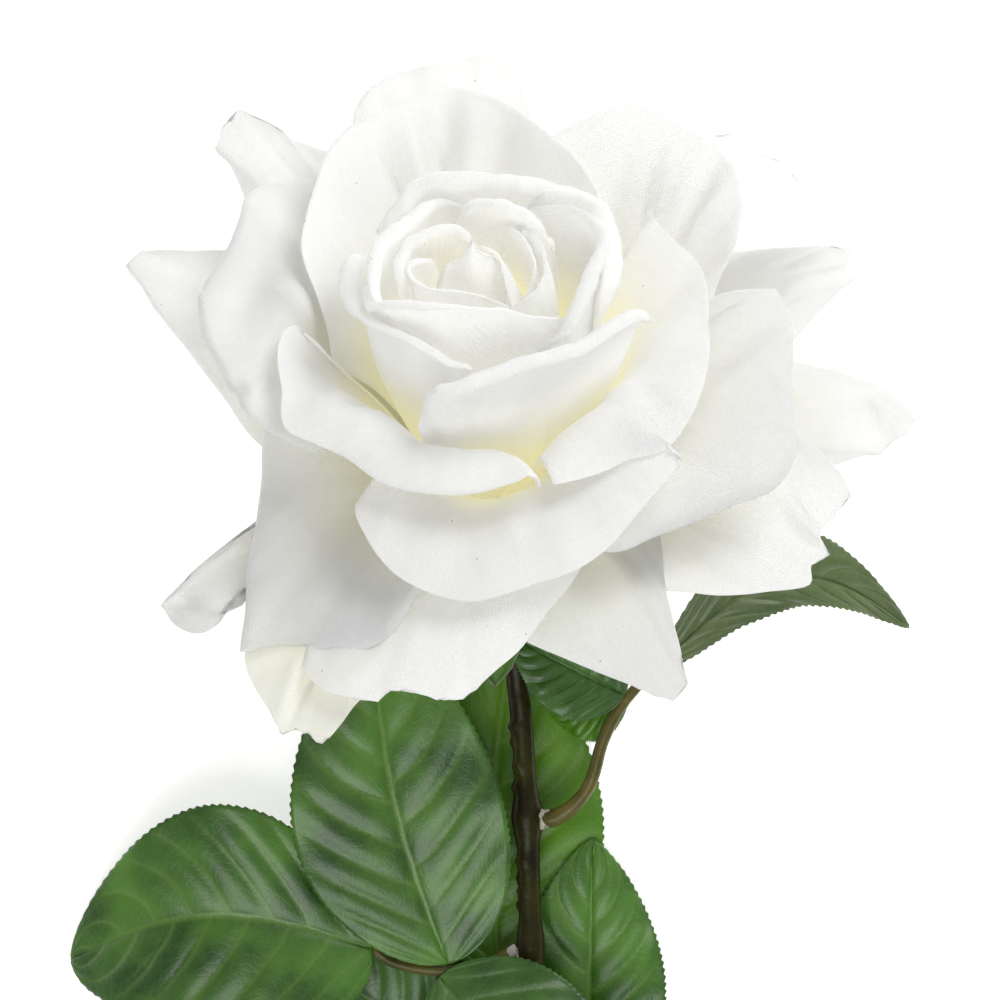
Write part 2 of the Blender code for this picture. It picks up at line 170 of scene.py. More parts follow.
def bend(start, end, leave, arrive, t):
    """Points along a curve that leaves one point and arrives at another in the given directions."""
    return ((2 * t ** 3 - 3 * t ** 2 + 1) * start + (3 * t ** 2 - 2 * t ** 3) * end
            + (t ** 3 - 2 * t ** 2 + t) * leave + (t ** 3 - t ** 2) * arrive)


def rim_line(rim, corners):
    """A rim's (azimuth, radius, height) at every column; the listed points stay sharp."""
    rim = np.array(rim, float)
    rim[:, 0] = np.degrees(np.unwrap(np.radians(rim[:, 0])))
    a = np.radians(rim[:, 0])
    place = np.stack([rim[:, 1] * np.cos(a), rim[:, 1] * np.sin(a), rim[:, 2]], axis=1)
    run = np.concatenate([[0.0], np.cumsum(np.linalg.norm(np.diff(place, axis=0), axis=1))])
    knots = np.round(run / run[-1] * COLUMNS).astype(int)
    last = len(rim) - 1
    for k in range(1, last):
        knots[k] = min(max(knots[k], knots[k - 1] + 1), COLUMNS - (last - k))
    line = np.zeros((COLUMNS + 1, 3))
    for k in range(last):
        low, high = knots[k], knots[k + 1]
        chord = rim[k + 1] - rim[k]
        leave = chord if k == 0 or k in corners else \
            (rim[k + 1] - rim[k - 1]) * (high - low) / (high - knots[k - 1])
        arrive = chord if k + 1 == last or k + 1 in corners else \
            (rim[k + 2] - rim[k]) * (high - low) / (knots[k + 2] - low)
        t = np.linspace(0.0, 1.0, high - low + 1)[:, None]
        line[low:high + 1] = bend(rim[k], rim[k + 1], leave, arrive, t)
    return line


def calmed(line, rounds):
    """A line with its small corners eased, its ends kept."""
    for _ in range(rounds):
        line = np.concatenate([line[:1], (line[:-2] + 2 * line[1:-1] + line[2:]) / 4, line[-1:]])
    return line


def about_axis(line):
    """(azimuth in degrees, radius, height) to x, y, height."""
    a = np.radians(line[..., 0])
    return np.stack([line[..., 1] * np.cos(a), line[..., 1] * np.sin(a), line[..., 2]], axis=-1)


def spread(values, count):
    """Smooth curve of count + 1 values through a few evenly spaced ones."""
    values = np.asarray(values, float)
    padded = np.concatenate([[2 * values[0] - values[1]], values, [2 * values[-1] - values[-2]]])
    at = np.linspace(0.0, len(values) - 1.0, count + 1)
    k = np.minimum(at.astype(int), len(values) - 2)
    t = (at - k).reshape(-1, *[1] * (values.ndim - 1))
    a, b, c, d = (padded[k + n] for n in range(4))
    return 0.5 * (2 * b + (c - a) * t + (2 * a - 5 * b + 4 * c - d) * t ** 2
                  + (3 * b - a - 3 * c + d) * t ** 3)


def across_and_out(sheet):
    """Unit directions at every point of a sheet: across it, along it, and out of its back."""
    across = np.gradient(sheet, axis=0)
    along = np.gradient(sheet, axis=1)
    out = np.cross(across, along)
    units = []
    for way in (across, along, out):
        units.append(way / np.maximum(np.linalg.norm(way, axis=2, keepdims=True), 1e-9))
    return units


def cut_flat(sheet):
    """The petal's cut shape laid flat: (x, y) mm from its foot, so that its weave runs straight."""
    lengths = np.linalg.norm(np.diff(sheet, axis=1), axis=2)
    along = np.concatenate([np.zeros((len(sheet), 1)), np.cumsum(lengths, axis=1)], axis=1)
    rim = np.linalg.norm(np.diff(sheet[:, ROWS], axis=0), axis=1)
    turn = np.concatenate([[0.0], np.cumsum(rim)]) / max(along[:, ROWS].mean(), 1.0)
    turn = (turn - turn[-1] / 2)[:, None]
    return np.stack([along * np.sin(turn), along * np.cos(turn)], axis=-1)


def form_petal(order, leans, fullness, rim, corners=(), heart_lean=(0.0, 0.0), wave=0.8):
    """A petal's middle surface about the axis, [across][along]: from its foot up to its rim."""
    drawn = rim_line(rim, corners)
    calm = calmed(drawn, CALMING)
    detail = about_axis(drawn) - about_axis(calm)
    middle = 0.5 * (drawn[0, 0] + drawn[-1, 0])
    foot = np.array([FOOT_RADIUS + FOOT_PITCH * order, -FOOT_DROP * order])
    lean = np.radians(spread(leans[1:], COLUMNS))
    x = np.linspace(0.0, 1.0, ROWS + 1)
    t = (x * (1.7 - 0.7 * x))[None, :, None]        # rows lie closer together towards the rim
    end = calm[:, None, 1:]
    full = spread(fullness, COLUMNS)[:, None, None] if isinstance(fullness, tuple) else fullness
    size = full * np.linalg.norm(end - foot, axis=2, keepdims=True)
    leave = size * np.array([math.sin(math.radians(leans[0])), math.cos(math.radians(leans[0]))])
    arrive = size * np.stack([np.sin(lean), np.cos(lean)], axis=1)[:, None]
    r, h = np.moveaxis(bend(foot, end, leave, arrive, t), 2, 0)
    fan = FOOT_SHARE + (1 - FOOT_SHARE) * (1 - (1 - t[..., 0]) ** 2.2)
    sheet = about_axis(np.stack([middle + (calm[:, :1] - middle) * fan, r, h], axis=2))
    sheet += detail[:, None] * t ** 5               # the rim's small waves die out below it
    sheet[..., 0] += heart_lean[0] * sheet[..., 2]
    sheet[..., 1] += heart_lean[1] * sheet[..., 2]
    out = across_and_out(sheet)[2]
    ripple = np.array([[sum(height * noise.noise(Vector((i * wide / COLUMNS, j * long / ROWS, order * seed)))
                            for height, wide, long, seed in RIPPLES)
                        for j in range(ROWS + 1)] for i in range(COLUMNS + 1)])
    return sheet + out * (ripple[..., None] * wave * t ** 1.5)


def press_folds(sheet, folds):
    """Presses soft folds into a petal: each runs from (across, along) to (across, along), as shares of the
    petal, with a width and a height in mm, outward if positive."""
    flat = cut_flat(sheet)
    out = across_and_out(sheet)[2]
    for (u0, v0), (u1, v1), width, height in folds:
        ends = [flat[round(u * COLUMNS), round(v * ROWS)] for u, v in ((u0, v0), (u1, v1))]
        run = ends[1] - ends[0]
        s = np.clip(((flat - ends[0]) @ run) / max(run @ run, 1e-9), 0.0, 1.0)
        away = np.linalg.norm(flat - ends[0] - s[..., None] * run, axis=2)
        taper = np.sin(np.pi * (0.08 + 0.84 * s)) if run @ run > 1.0 else 1.0
        sheet = sheet + out * (height * taper * np.exp(-(away / width) ** 2))[..., None]
    return sheet


def ribs_mesh(ribs, first=0):
    """Corner places and faces of a petal's ribs, numbered from first."""
    across, along = ribs.shape[0] - 1, ribs.shape[1] - 1
    faces = [tuple(first + corner for corner in (i * (along + 1) + j, (i + 1) * (along + 1) + j,
                                                 (i + 1) * (along + 1) + j + 1, i * (along + 1) + j + 1))
             for i in range(across) for j in range(along)]
    return [tuple(place) for place in ribs.reshape(-1, 3)], faces


def eased(field, rounds=1):
    """A field over the ribs, evened out with its neighbours."""
    for _ in range(rounds):
        padded = np.pad(field, ((1, 1), (1, 1), (0, 0)), mode="edge")
        around = (padded[:-2, 1:-1] + padded[2:, 1:-1] + padded[1:-1, :-2] + padded[1:-1, 2:]) / 4
        field = 0.5 * (field + around)
    return field


def settle(ribs):
    """Presses a petal out, each rib along its own back, until it lies clear of those glued on before it;
    its foot stays where it is glued."""
    if not glued_faces:
        return ribs
    inner = BVHTree.FromPolygons(glued_places, glued_faces)
    out = across_and_out(ribs)[2]
    own = BVHTree.FromPolygons(*ribs_mesh(ribs))
    room = np.full(ribs.shape[:2], REACH)
    for i, j in np.ndindex(room.shape):
        hit = own.ray_cast(Vector(ribs[i, j] + OFF_SHEET * out[i, j]), Vector(out[i, j]), 2 * REACH)
        to_own_back = OWN_SHARE * (hit[3] + OFF_SHEET) if hit[0] else REACH
        room[i, j] = min(REACH, math.hypot(*ribs[i, j, :2]) * AXIS_SHARE, to_own_back)
    v = np.linspace(0.0, 1.0, ribs.shape[1])[None, :, None]
    gap = FOOT_GAP + (CLEARANCE - FOOT_GAP) * np.minimum(1.0, v / FULL_GAP_AT)
    free = np.minimum(1.0, v / GLUED_TO)
    shift = np.zeros_like(ribs)
    for turn in range(SETTLE_ROUNDS):
        now = ribs + shift
        out = across_and_out(now)[2]
        need = np.zeros((*room.shape, 1))
        for i, j in np.ndindex(room.shape):
            far = room[i, j]
            hit = inner.ray_cast(Vector(now[i, j] + far * out[i, j]), Vector(-out[i, j]),
                                 far + float(gap[0, j, 0]))
            if hit[0]:
                need[i, j, 0] = far - hit[3] + gap[0, j, 0]
        if need.max() < SLACK:
            break
        last = turn >= SETTLE_ROUNDS - LAST_ROUNDS
        push = np.maximum(need, eased(need, 4)) * (1.0 if last else PUSH)
        shift = shift + push * out * free
        if not last:
            shift = eased(shift, 2)
        size = np.linalg.norm(shift, axis=2, keepdims=True)
        shift *= np.minimum(1.0, FURTHEST / np.maximum(size, 1e-6)) * free
    return ribs + shift


def curl_rim(sheet, radius, turns):
    """Adds the curled rim: it turns outward on a small radius by the angles given from left to right."""
    along = sheet[:, -1] - sheet[:, -3]
    along /= np.linalg.norm(along, axis=1, keepdims=True)
    across = np.gradient(calmed(sheet[:, -1], 6), axis=0)
    out = np.cross(across, along)
    out /= np.linalg.norm(out, axis=1, keepdims=True)
    turn = np.radians(spread(turns, COLUMNS))
    rows = [sheet]
    for k in range(1, CURL_ROWS + 1):
        a = (turn * k / CURL_ROWS)[:, None]
        rows.append((sheet[:, -1] + radius * (np.sin(np.abs(a)) * along
                                              + np.sign(a) * (1 - np.cos(a)) * out))[:, None])
    return np.concatenate(rows, axis=1)


def start_group(name, inputs, outputs):
    """A new node group with named inputs and outputs, each with its kind of value."""
    tree = bpy.data.node_groups.new(name, "ShaderNodeTree")
    for way, sockets in (("INPUT", inputs), ("OUTPUT", outputs)):
        for socket, kind in sockets.items():
            tree.interface.new_socket(socket, in_out=way, socket_type="NodeSocket" + kind)
    return tree, tree.nodes.new("NodeGroupInput").outputs, tree.nodes.new("NodeGroupOutput")


def math_in(tree, operation, *terms):
    """What a Math node makes of its terms."""
    return add_node(tree, "Math", dict(enumerate(terms)), operation=operation).outputs[0]


def mix_in(tree, share, first, second):
    """Two colours mixed, by the second one's share."""
    return add_node(tree, "Mix", {0: share, 6: first, 7: second}, data_type="RGBA").outputs[2]


def satin_group():
    """Satin weave and dye: cream towards the foot, twill lines, a few caught specks of lint, and a painted
    glow.
    """
    tree, given, out = start_group(
        "satin weave and dye",
        {"Flat Place": "Vector", "Place": "Vector", "White": "Color", "Cream": "Color", "Cream Ends": "Float",
         "White Starts": "Float"},
        {"Colour": "Color", "Painted Glow": "Color", "Roughness": "Float", "Relief": "Float"})
    node, maths, mix = partial(add_node, tree), partial(math_in, tree), partial(mix_in, tree)

    # dye fades with the distance from the foot, unevenly as it wicks along the threads
    from_foot = node("VectorMath", {0: given["Flat Place"]}, operation="LENGTH").outputs["Value"]
    cloud = node("TexNoise", {"Vector": given["Place"], "Scale": 90.0, "Detail": 1.0})
    wick = maths("MULTIPLY_ADD", cloud.outputs["Fac"], 0.012, from_foot)
    fade = node("MapRange", {"Value": wick, "From Min": given["Cream Ends"],
                             "From Max": given["White Starts"]},
                interpolation_type="SMOOTHSTEP").outputs["Result"]
    dyed = mix(fade, given["Cream"], given["White"])
    # painted glow: grey where the cloth is white, the dye's cream near the foot; it feeds the emission in
    # place of light coming through the thin cloth
    painted_glow = mix(fade, dyed, (0.50, 0.50, 0.47, 1.0))

    # threads: a fine diagonal rib crossed by a finer one
    split = node("SeparateXYZ", {0: given["Flat Place"]})
    x, y = split.outputs[0], split.outputs[1]
    rib_way = maths("ADD", x, maths("MULTIPLY", y, 0.62))
    cross_way = maths("SUBTRACT", y, maths("MULTIPLY", x, 0.30))
    rib = maths("SINE", maths("MULTIPLY", rib_way, math.tau / RIB_PITCH))
    cross = maths("SINE", maths("MULTIPLY", cross_way, math.tau / CROSS_PITCH))
    weave = maths("MULTIPLY_ADD", cross, 0.35, maths("MULTIPLY", rib, 0.65))
    nap = node("TexNoise", {"Vector": given["Place"], "Scale": 1400.0, "Detail": 0.0})
    weave = maths("MULTIPLY_ADD", nap.outputs["Fac"], 0.9, weave)
    threaded = mix(maths("MULTIPLY_ADD", weave, 0.020, 0.018), dyed, (0.52, 0.52, 0.50, 1.0))

    # lint: single dark fibres caught in the cloth, far apart
    cells = node("TexVoronoi", {"Vector": given["Place"], "Scale": 230.0})
    spot = maths("LESS_THAN", cells.outputs["Distance"], 0.036)
    pick = node("SeparateColor", {0: cells.outputs["Color"]})
    rare = maths("LESS_THAN", pick.outputs[0], 0.30)
    lint = maths("MULTIPLY", maths("MULTIPLY", spot, rare), 0.72)

    # creases: shallow pleats that run out from the foot, as the size pulls the cloth while it dries
    turn = maths("ARCTAN2", x, y)
    pleat_way = node("CombineXYZ", {0: maths("MULTIPLY", turn, 9.0), 1: maths("MULTIPLY", from_foot, 45.0)})
    pleats = node("TexNoise", {"Vector": pleat_way.outputs["Vector"], "Scale": 1.0, "Detail": 1.0})
    wire(tree, out, {"Colour": mix(lint, threaded, (0.16, 0.13, 0.085, 1.0)), "Painted Glow": painted_glow,
                     "Roughness": maths("MULTIPLY_ADD", weave, 0.035, 0.52),
                     "Relief": maths("MULTIPLY_ADD", pleats.outputs["Fac"], 16.0, weave)})
    return tree


satin = satin_group()


def satin_cloth(name, white, cream, cream_ends, white_starts, painted_glow):
    """Sized satin: soft sheen, a painted glow in place of light coming through it, and the weave as fine
    relief.
    """
    material, tree, shader, place = start_material(name)
    flat = add_node(tree, "UVMap", {}, uv_map="cut shape")
    cloth = add_node(tree, "Group", {}, node_tree=satin)
    wire(tree, cloth, {"Flat Place": flat.outputs["UV"], "Place": place, "White": (*white, 1.0),
                       "Cream": (*cream, 1.0), "Cream Ends": cream_ends, "White Starts": white_starts})
    bump = add_node(tree, "Bump", {"Height": cloth.outputs["Relief"], "Strength": 0.5, "Distance": 0.00008})
    # the emission is a painted glow: the cloth lights itself in place of light that comes through the thin
    # satin
    wire(tree, shader, {"Base Color": cloth.outputs["Colour"], "Roughness": cloth.outputs["Roughness"],
                        "Normal": bump.outputs["Normal"], "Specular IOR Level": 0.35,
                        "Emission Color": cloth.outputs["Painted Glow"], "Emission Strength": painted_glow,
                        "Sheen Weight": 0.15, "Sheen Roughness": 0.4, "Subsurface Weight": 0.55,
                        "Subsurface Radius": (1.0, 0.97, 0.85), "Subsurface Scale": 0.004})
    material.cycles.emission_sampling = "NONE"
    return material


# the last number in each satin is the strength of its painted glow, which lights the hollows between the
# petals
heart_satin = satin_cloth("heart_satin", (0.965, 0.962, 0.945), (0.90, 0.84, 0.48), 0.038, 0.053, 0.25)


def cloth_piece(name, sheet, layer, marks, thickness, material, node):
    """A sheet of cloth: a grid laid on its middle surface, with its marks as a UV map, made thick."""
    across, along = sheet.shape[0] - 1, sheet.shape[1] - 1
    bm = bmesh.new()
    bmesh.ops.create_grid(bm, x_segments=along, y_segments=across, size=1.0)
    uv = bm.loops.layers.uv.new(layer)
    for vert, place, mark in zip(bm.verts, sheet.reshape(-1, 3), marks.reshape(-1, 2)):
        vert.co = Vector(place)
        for loop in vert.link_loops:
            loop[uv].uv = mark
    piece = add_piece(name, bm, material, node)
    wall = piece.modifiers.new("thickness", "SOLIDIFY")
    wall.thickness = thickness * MM
    wall.offset = 0.0
    return piece


def glue_petal(name, leans, fullness, rim, curl, corners=(), folds=(), fray=(), wave=0.8,
               heart_lean=(0.0, 0.0), material=None, finish="petal_cloth"):
    """Forms a petal, settles it against those already on the receptacle and adds it there.

    Leans are degrees from the flower's axis: at the foot, then along the rim. Fullness bows the petal out.
    Curl is the rim's radius, then its degrees along the rim; fray is how far the cut edge strays, and where.
    """
    order = next(petal_order)
    sheet = form_petal(order, leans, fullness, rim, corners, heart_lean, wave)
    sheet = press_folds(sheet, folds)
    ribs = sheet[::RIB_STEP, ::RIB_STEP]
    moved = settle(ribs) - ribs
    sheet = sheet + spread(spread(moved, COLUMNS).swapaxes(0, 1), ROWS).swapaxes(0, 1)
    sheet = curl_rim(sheet, curl[0], curl[1:])
    flat = cut_flat(sheet)
    for u0, u1, size in fray:
        along = across_and_out(sheet)[1]
        for i in range(round(u0 * COLUMNS), round(u1 * COLUMNS) + 1):
            cut = size * noise.noise(Vector((i * 1.7, order * 3.1, 0.5)))
            sheet[i, -1] += along[i, -1] * cut
            sheet[i, -2] += along[i, -2] * cut * 0.4
    places, faces = ribs_mesh(sheet[::RIB_STEP, ::RIB_STEP], len(glued_places))
    glued_places.extend(places)
    glued_faces.extend(faces)
    return cloth_piece(name, to_table(sheet)[::-1], "cut shape", flat[::-1] * MM, PETAL_THICKNESS,
                       material or petal_satin, name)


HEART_LEAN = (-0.065, -0.045)
HEART = {"heart_lean": HEART_LEAN, "material": heart_satin, "finish": "heart_cloth"}
glue_petal("petal_heart", (15, -20, -30, -35), 1.0,
    [(179, 6.5, 46), (183, 6.1, 50), (182, 5.5, 53), (189, 5.1, 55), (188, 3.6, 56), (213, 2, 58),
    (229, 1, 60), (266, 0.7, 61.5), (311, 0.7, 59.5), (346, 1.6, 58), (356, 2.7, 57), (4, 3.4, 56),
    (357, 2.9, 54), (13, 1.8, 51), (51, 0.9, 48)],
    corners=(3, 7, 11), folds=[((0.30, 0.95), (0.36, 0.6), 1.5, -0.5)], curl=(0.4, 60, 20, 10, 60, 20),
    wave=0.3, **HEART)
glue_petal("petal_heart_wrap", (20, -15, -20, -25), 1.0,
    [(316, 6.7, 49), (318, 7.3, 53), (326, 6.4, 55), (337, 5.4, 56.5), (357, 4.1, 57), (23, 3.1, 57),
    (49, 2.5, 57), (83, 3, 55.5), (105, 3.5, 54)],
    curl=(0.5, 20, 30, 30), wave=0.3, **HEART)
glue_petal("petal_heart_right", (25, -5, -8, -10), 1.0,
    [(347, 8.9, 47), (346, 9.6, 50), (351, 10.2, 53), (1, 10.2, 55), (16, 10.1, 55.5), (34, 10.4, 55),
    (51, 11.1, 54), (64, 11.9, 52.5), (72, 11.9, 51)],
    curl=(0.5, 30, 60, 40), wave=0.5, **HEART)
glue_petal("petal_heart_front", (30, 10, -10, -10), 1.0,
    [(157, 7.8, 52), (173, 8.4, 54), (182, 10, 55), (187, 11.1, 55), (196, 11.1, 55), (209, 10.7, 55.5),
    (222, 10.2, 56), (236, 9, 56), (257, 8, 56), (279, 7.9, 55), (296, 8.5, 53), (311, 7.9, 50)],
    curl=(0.6, 120, 110, 110, 90, 50), wave=0.3, **HEART)

# ---------------------------------------------------------------------------------------------------------
# Inner and middle petals: five satin petals cupped one inside the next round the heart. Their rims are
# curled outward over a thin wire, so each shows as a narrow soft band, and the dye reaches half way up.
INNER_LEAN = (-0.035, -0.02)
inner_satin = satin_cloth("inner_satin", (0.96, 0.957, 0.94), (0.93, 0.89, 0.62), 0.038, 0.054, 0.25)

glue_petal("petal_inner_left", (30, -10, -10, -10), 0.9,
    [(88, 7.7, 50), (98, 6.5, 53), (111, 7, 54), (128, 8.3, 54.5), (145, 9.3, 55), (160, 10.7, 55),
    (172, 11.7, 55), (185, 12.4, 55), (193, 12.8, 54), (198, 12.7, 52), (199, 12.1, 49)],
    curl=(1.1, 60, 140, 150, 150, 120), heart_lean=HEART_LEAN, material=inner_satin)
glue_petal("petal_inner_right", (30, -10, -10, -10), 0.9,
    [(310, 7, 49), (314, 9.8, 52), (320, 11.8, 54), (328, 12.6, 55), (336, 12.8, 56), (349, 12.3, 56),
    (2, 12.1, 56), (15, 11.9, 56), (28, 11.8, 55.5), (43, 12.6, 54), (57, 13.8, 52)],
    curl=(0.5, 60, 90, 100, 60), heart_lean=HEART_LEAN, material=inner_satin)
glue_petal("petal_inner_back", (35, -10, -10, -10), 0.9,
    [(28, 13.5, 49), (30, 12.6, 52), (35, 11.5, 54), (44, 10.6, 55), (56, 10.3, 55.5), (67, 10.3, 56),
    (78, 10.5, 56), (90, 10.7, 55.5), (101, 11.1, 54.5), (109, 12, 52.5), (114, 12.8, 50)],
    curl=(1.0, 60, 140, 150, 140, 60), heart_lean=INNER_LEAN, material=inner_satin)
glue_petal("petal_middle_left", (35, -10, -10, -10), 0.9,
    [(88, 17.4, 45), (99, 17.8, 48.5), (109, 17, 51), (119, 15.8, 52.8), (133, 14.3, 54.5), (146, 14.1, 55),
    (163, 14.7, 56), (174, 16.2, 56), (183, 17.3, 56), (191, 18.1, 55.5), (198, 18.7, 55), (206, 19.2, 54),
    (210, 19, 52), (212, 18.5, 49)],
    curl=(1.3, 10, 30, 110, 165, 165, 130, 110), heart_lean=INNER_LEAN, material=inner_satin)
glue_petal("petal_middle_front", (35, -10, -10, -10), 0.9,
    [(192, 20.1, 50), (204, 20.5, 53), (213, 20.1, 55.5), (224, 19, 57), (238, 17.7, 58), (250, 16.5, 58),
    (261, 15.5, 57.5), (273, 15.4, 57), (285, 16.2, 56.5), (295, 17.3, 55.5), (304, 17.7, 54),
    (313, 17, 51)],
    folds=[((0.35, 0.98), (0.40, 0.55), 2.5, -0.5), ((0.60, 0.95), (0.56, 0.6), 3.0, 0.6)],
    curl=(0.9, 120, 170, 165, 60, 40, 60), material=inner_satin)

# ---------------------------------------------------------------------------------------------------------
# Cup petals: five larger petals that stand round the middle ones. The rims are rolled over a rod while
# the size is damp, so they keep a full round lip, and the satin outside shows its weave in the light.
petal_satin = satin_cloth("petal_satin", (0.955, 0.954, 0.947), (0.93, 0.90, 0.68), 0.030, 0.054, 0.165)
# painted shade: a greyer copy of the satin with less painted glow, for outer petals that turn away from the
# light
outer_painted_shade_satin = satin_cloth("outer_painted_shade_satin", (0.89, 0.887, 0.872), (0.88, 0.86, 0.68), 0.030, 0.062, 0.05)

glue_petal("petal_cup_right", (40, -5, -5, -5), 0.9,
    [(293, 19.6, 49), (298, 20, 52), (304, 19.6, 54), (311, 19, 56), (320, 18.1, 57), (331, 17.4, 57),
    (343, 17.1, 57), (355, 17.2, 57), (4, 17.4, 57), (14, 17.4, 56), (24, 17, 55.5), (35, 16.6, 54.5),
    (48, 16.4, 53), (62, 16, 51), (78, 15.8, 47)],
    folds=[((0.66, 0.98), (0.62, 0.60), 2.2, 0.9), ((0.78, 0.95), (0.72, 0.60), 2.0, -0.8)],
    curl=(1.5, 60, 150, 160, 120, 60, 30, 10))
glue_petal("petal_cup_far_right", (45, 5, 5, 5), 0.9,
    [(336, 19.3, 43), (339, 19.2, 47.5), (346, 18.7, 50.5), (356, 18.6, 52), (8, 18.8, 52.5),
    (18, 19.3, 53), (27, 19.7, 53), (35, 19.8, 53), (44, 19.6, 52), (54, 18.9, 51), (65, 18.6, 49.5),
    (73, 18.8, 47)],
    curl=(1.7, 40, 120, 150, 150, 120, 60), material=inner_satin)
glue_petal("petal_cup_back", (40, 0, 0, 0), 0.9,
    [(47, 27.2, 44), (53, 23.3, 48), (63, 19.4, 50), (75, 16.7, 52), (90, 16.1, 53), (105, 16.9, 53.5),
    (117, 18.3, 53.5), (125, 19.3, 53), (132, 20.1, 52), (140, 20.8, 51), (146, 22.2, 49), (150, 23.7, 46)],
    folds=[((0.25, 1.0), (0.75, 1.0), 2.2, 0.9)], curl=(1.7, 60, 130, 140, 140, 120, 60))
glue_petal("petal_cup_left", (45, 10, 10, 10), 0.9,
    [(156, 25.2, 42), (169, 23.8, 46), (182, 23.4, 48.5), (192, 23.5, 50), (201, 23.5, 51),
    (208, 23.2, 51.5), (216, 22.9, 52), (225, 22.6, 52.5), (235, 22.2, 52.5), (245, 22.3, 52),
    (254, 22.5, 51), (259, 21.1, 48)],
    folds=[((0.80, 0.98), (0.84, 0.5), 3.0, -0.5)], curl=(1.6, 150, 165, 150, 110, 110, 80))
glue_petal("petal_cup_front", (45, 15, 15, 15), 0.9,
    [(244, 29.9, 40), (245, 29.7, 43.5), (246, 29.3, 46.5), (249, 29.5, 50), (252, 29.4, 52),
    (256, 29.1, 53.5), (261, 28, 54.5), (272, 26.1, 55), (284, 25, 55), (297, 24.7, 55), (311, 24.5, 54.5),
    (322, 24.7, 54), (330, 25.5, 53), (335, 26.5, 52), (339, 27.3, 50)],
    folds=[((0.17, 0.98), (0.24, 0.78), 1.4, -0.8), ((0.22, 0.95), (0.30, 0.82), 1.2, 0.6),
    ((0.62, 0.75), (0.60, 0.45), 3.0, -0.5), ((0.50, 0.7), (0.52, 0.4), 3.0, 0.4)],
    curl=(1.4, 20, 90, 170, 170, 170, 170, 150))

# ---------------------------------------------------------------------------------------------------------
# Bowl petals: five wide petals that open round the cup. Each was bent back by hand over the table edge:
# the front ones fold right over and show their inner face in front, the back one keeps its pinched creases.
glue_petal("petal_bowl_right", (50, 88, 118, 110, 78, 60, 50, 50), (1.0, 1.4, 1.4, 1.1, 1.0, 1.0, 0.9),
    [(286, 35.9, 34.5), (291, 36.6, 35), (299, 37.2, 35), (307, 37.8, 35.5), (315, 40.9, 37),
    (322, 41.4, 40), (328, 41.1, 43), (338, 39.2, 44), (350, 37.2, 45), (5, 36.4, 45), (14, 35.8, 44),
    (24, 34.4, 43), (32, 34.4, 42), (37, 34.8, 42.5)],
    folds=[((0.30, 0.9), (0.45, 0.62), 3.5, 1.3), ((0.78, 1.0), (0.72, 0.55), 3.5, 1.2),
    ((0.62, 0.95), (0.60, 0.55), 4.0, -1.2)], curl=(1.0, 30, 10, 30, 30, 30, 20, 20))
glue_petal("petal_bowl_left_front", (42, 30, 45, 85, 120, 130, 118, 70), (1.1, 1.1, 1.1, 1.1, 1.1, 1.0, 0.7),
    [(188, 31.3, 36), (182, 34.3, 37), (186, 37.1, 39), (193, 38.6, 40), (206, 40.7, 40), (217, 44.5, 40),
    (224, 42.7, 40), (232, 40.6, 39), (242, 40.3, 37), (253, 38.7, 36), (264, 37.3, 36), (271, 36.1, 36.5),
    (276, 35.9, 37.5), (279, 35.7, 38), (281, 36, 37), (282, 36.2, 34.5)],
    folds=[((0.30, 0.55), (0.42, 0.8), 2.5, -1.1), ((0.36, 0.45), (0.44, 0.62), 2.0, 1.0)],
    curl=(1.0, 10, 20, 20, 40, 60, 60, 40))
glue_petal("petal_bowl_front", (42, 118, 125, 125, 115, 100), 1.35,
    [(236, 42.6, 29.5), (238, 44.5, 29), (241, 45.9, 28), (245, 47.6, 26), (250, 49.1, 24), (255, 49.9, 23),
    (261, 50.3, 22), (266, 50.4, 22), (271, 49.8, 23), (278, 48.5, 24), (286, 48.8, 26), (294, 47.4, 28),
    (301, 45.8, 31), (308, 44.8, 34), (314, 44, 37), (313, 42, 38)],
    corners=(14,), folds=[((0.47, 0.50), (0.50, 0.70), 1.8, -1.2), ((0.35, 0.6), (0.38, 0.95), 5.0, 0.8)],
    curl=(1.0, 15, 15, 15))
glue_petal("petal_bowl_back", (50, 50, 48, 45, 48, 52, 58), 0.9,
    [(51, 29.5, 36), (55, 32.8, 39), (61, 35.1, 41), (68, 37.4, 43), (77, 39.6, 45), (86, 43.4, 46),
    (93, 46.8, 46.5), (100, 48.1, 47), (106, 48.4, 46.5), (114, 47.9, 45.5), (122, 48.3, 44), (130, 46, 43),
    (138, 42.4, 42), (148, 39.2, 41), (155, 37.4, 40), (160, 35, 38.5), (167, 31.4, 36), (176, 28.5, 32),
    (186, 27.5, 28)],
    folds=[((0.38, 0.98), (0.42, 0.45), 2.2, 2.4), ((0.46, 0.92), (0.46, 0.50), 1.7, -2.3),
    ((0.52, 0.86), (0.50, 0.55), 1.5, 2.0), ((0.34, 1.0), (0.38, 0.5), 2.8, -1.9),
    ((0.26, 1.0), (0.34, 0.5), 3.0, 1.3), ((0.60, 0.75), (0.70, 0.45), 6.0, -1.6)],
    curl=(1.2, 10, 30, 60, 40, 50, 30, 20))
glue_petal("petal_bowl_left", (55, 60, 75, 90, 90, 80), 1.0,
    [(122, 45, 31), (127, 50, 32.3), (134, 51, 34), (141, 53.3, 36.3), (146, 52.5, 38), (152, 50, 39),
    (160, 48.7, 39), (167, 49.7, 39), (175, 51, 39), (184, 49.5, 38), (192, 47.5, 37), (200, 46.5, 36),
    (207, 44.5, 34.6), (213, 42, 33), (219, 39, 31)],
    corners=(8,), folds=[((0.26, 0.80), (0.68, 0.88), 5.0, 2.6), ((0.36, 0.60), (0.66, 0.64), 5.5, -3.0),
    ((0.42, 0.70), (0.50, 0.45), 1.6, 1.0), ((0.48, 0.72), (0.56, 0.48), 1.6, -1.0),
    ((0.80, 0.98), (0.82, 0.86), 1.6, -1.6)], curl=(1.4, 20, 60, 80, 80, 40), material=outer_painted_shade_satin)
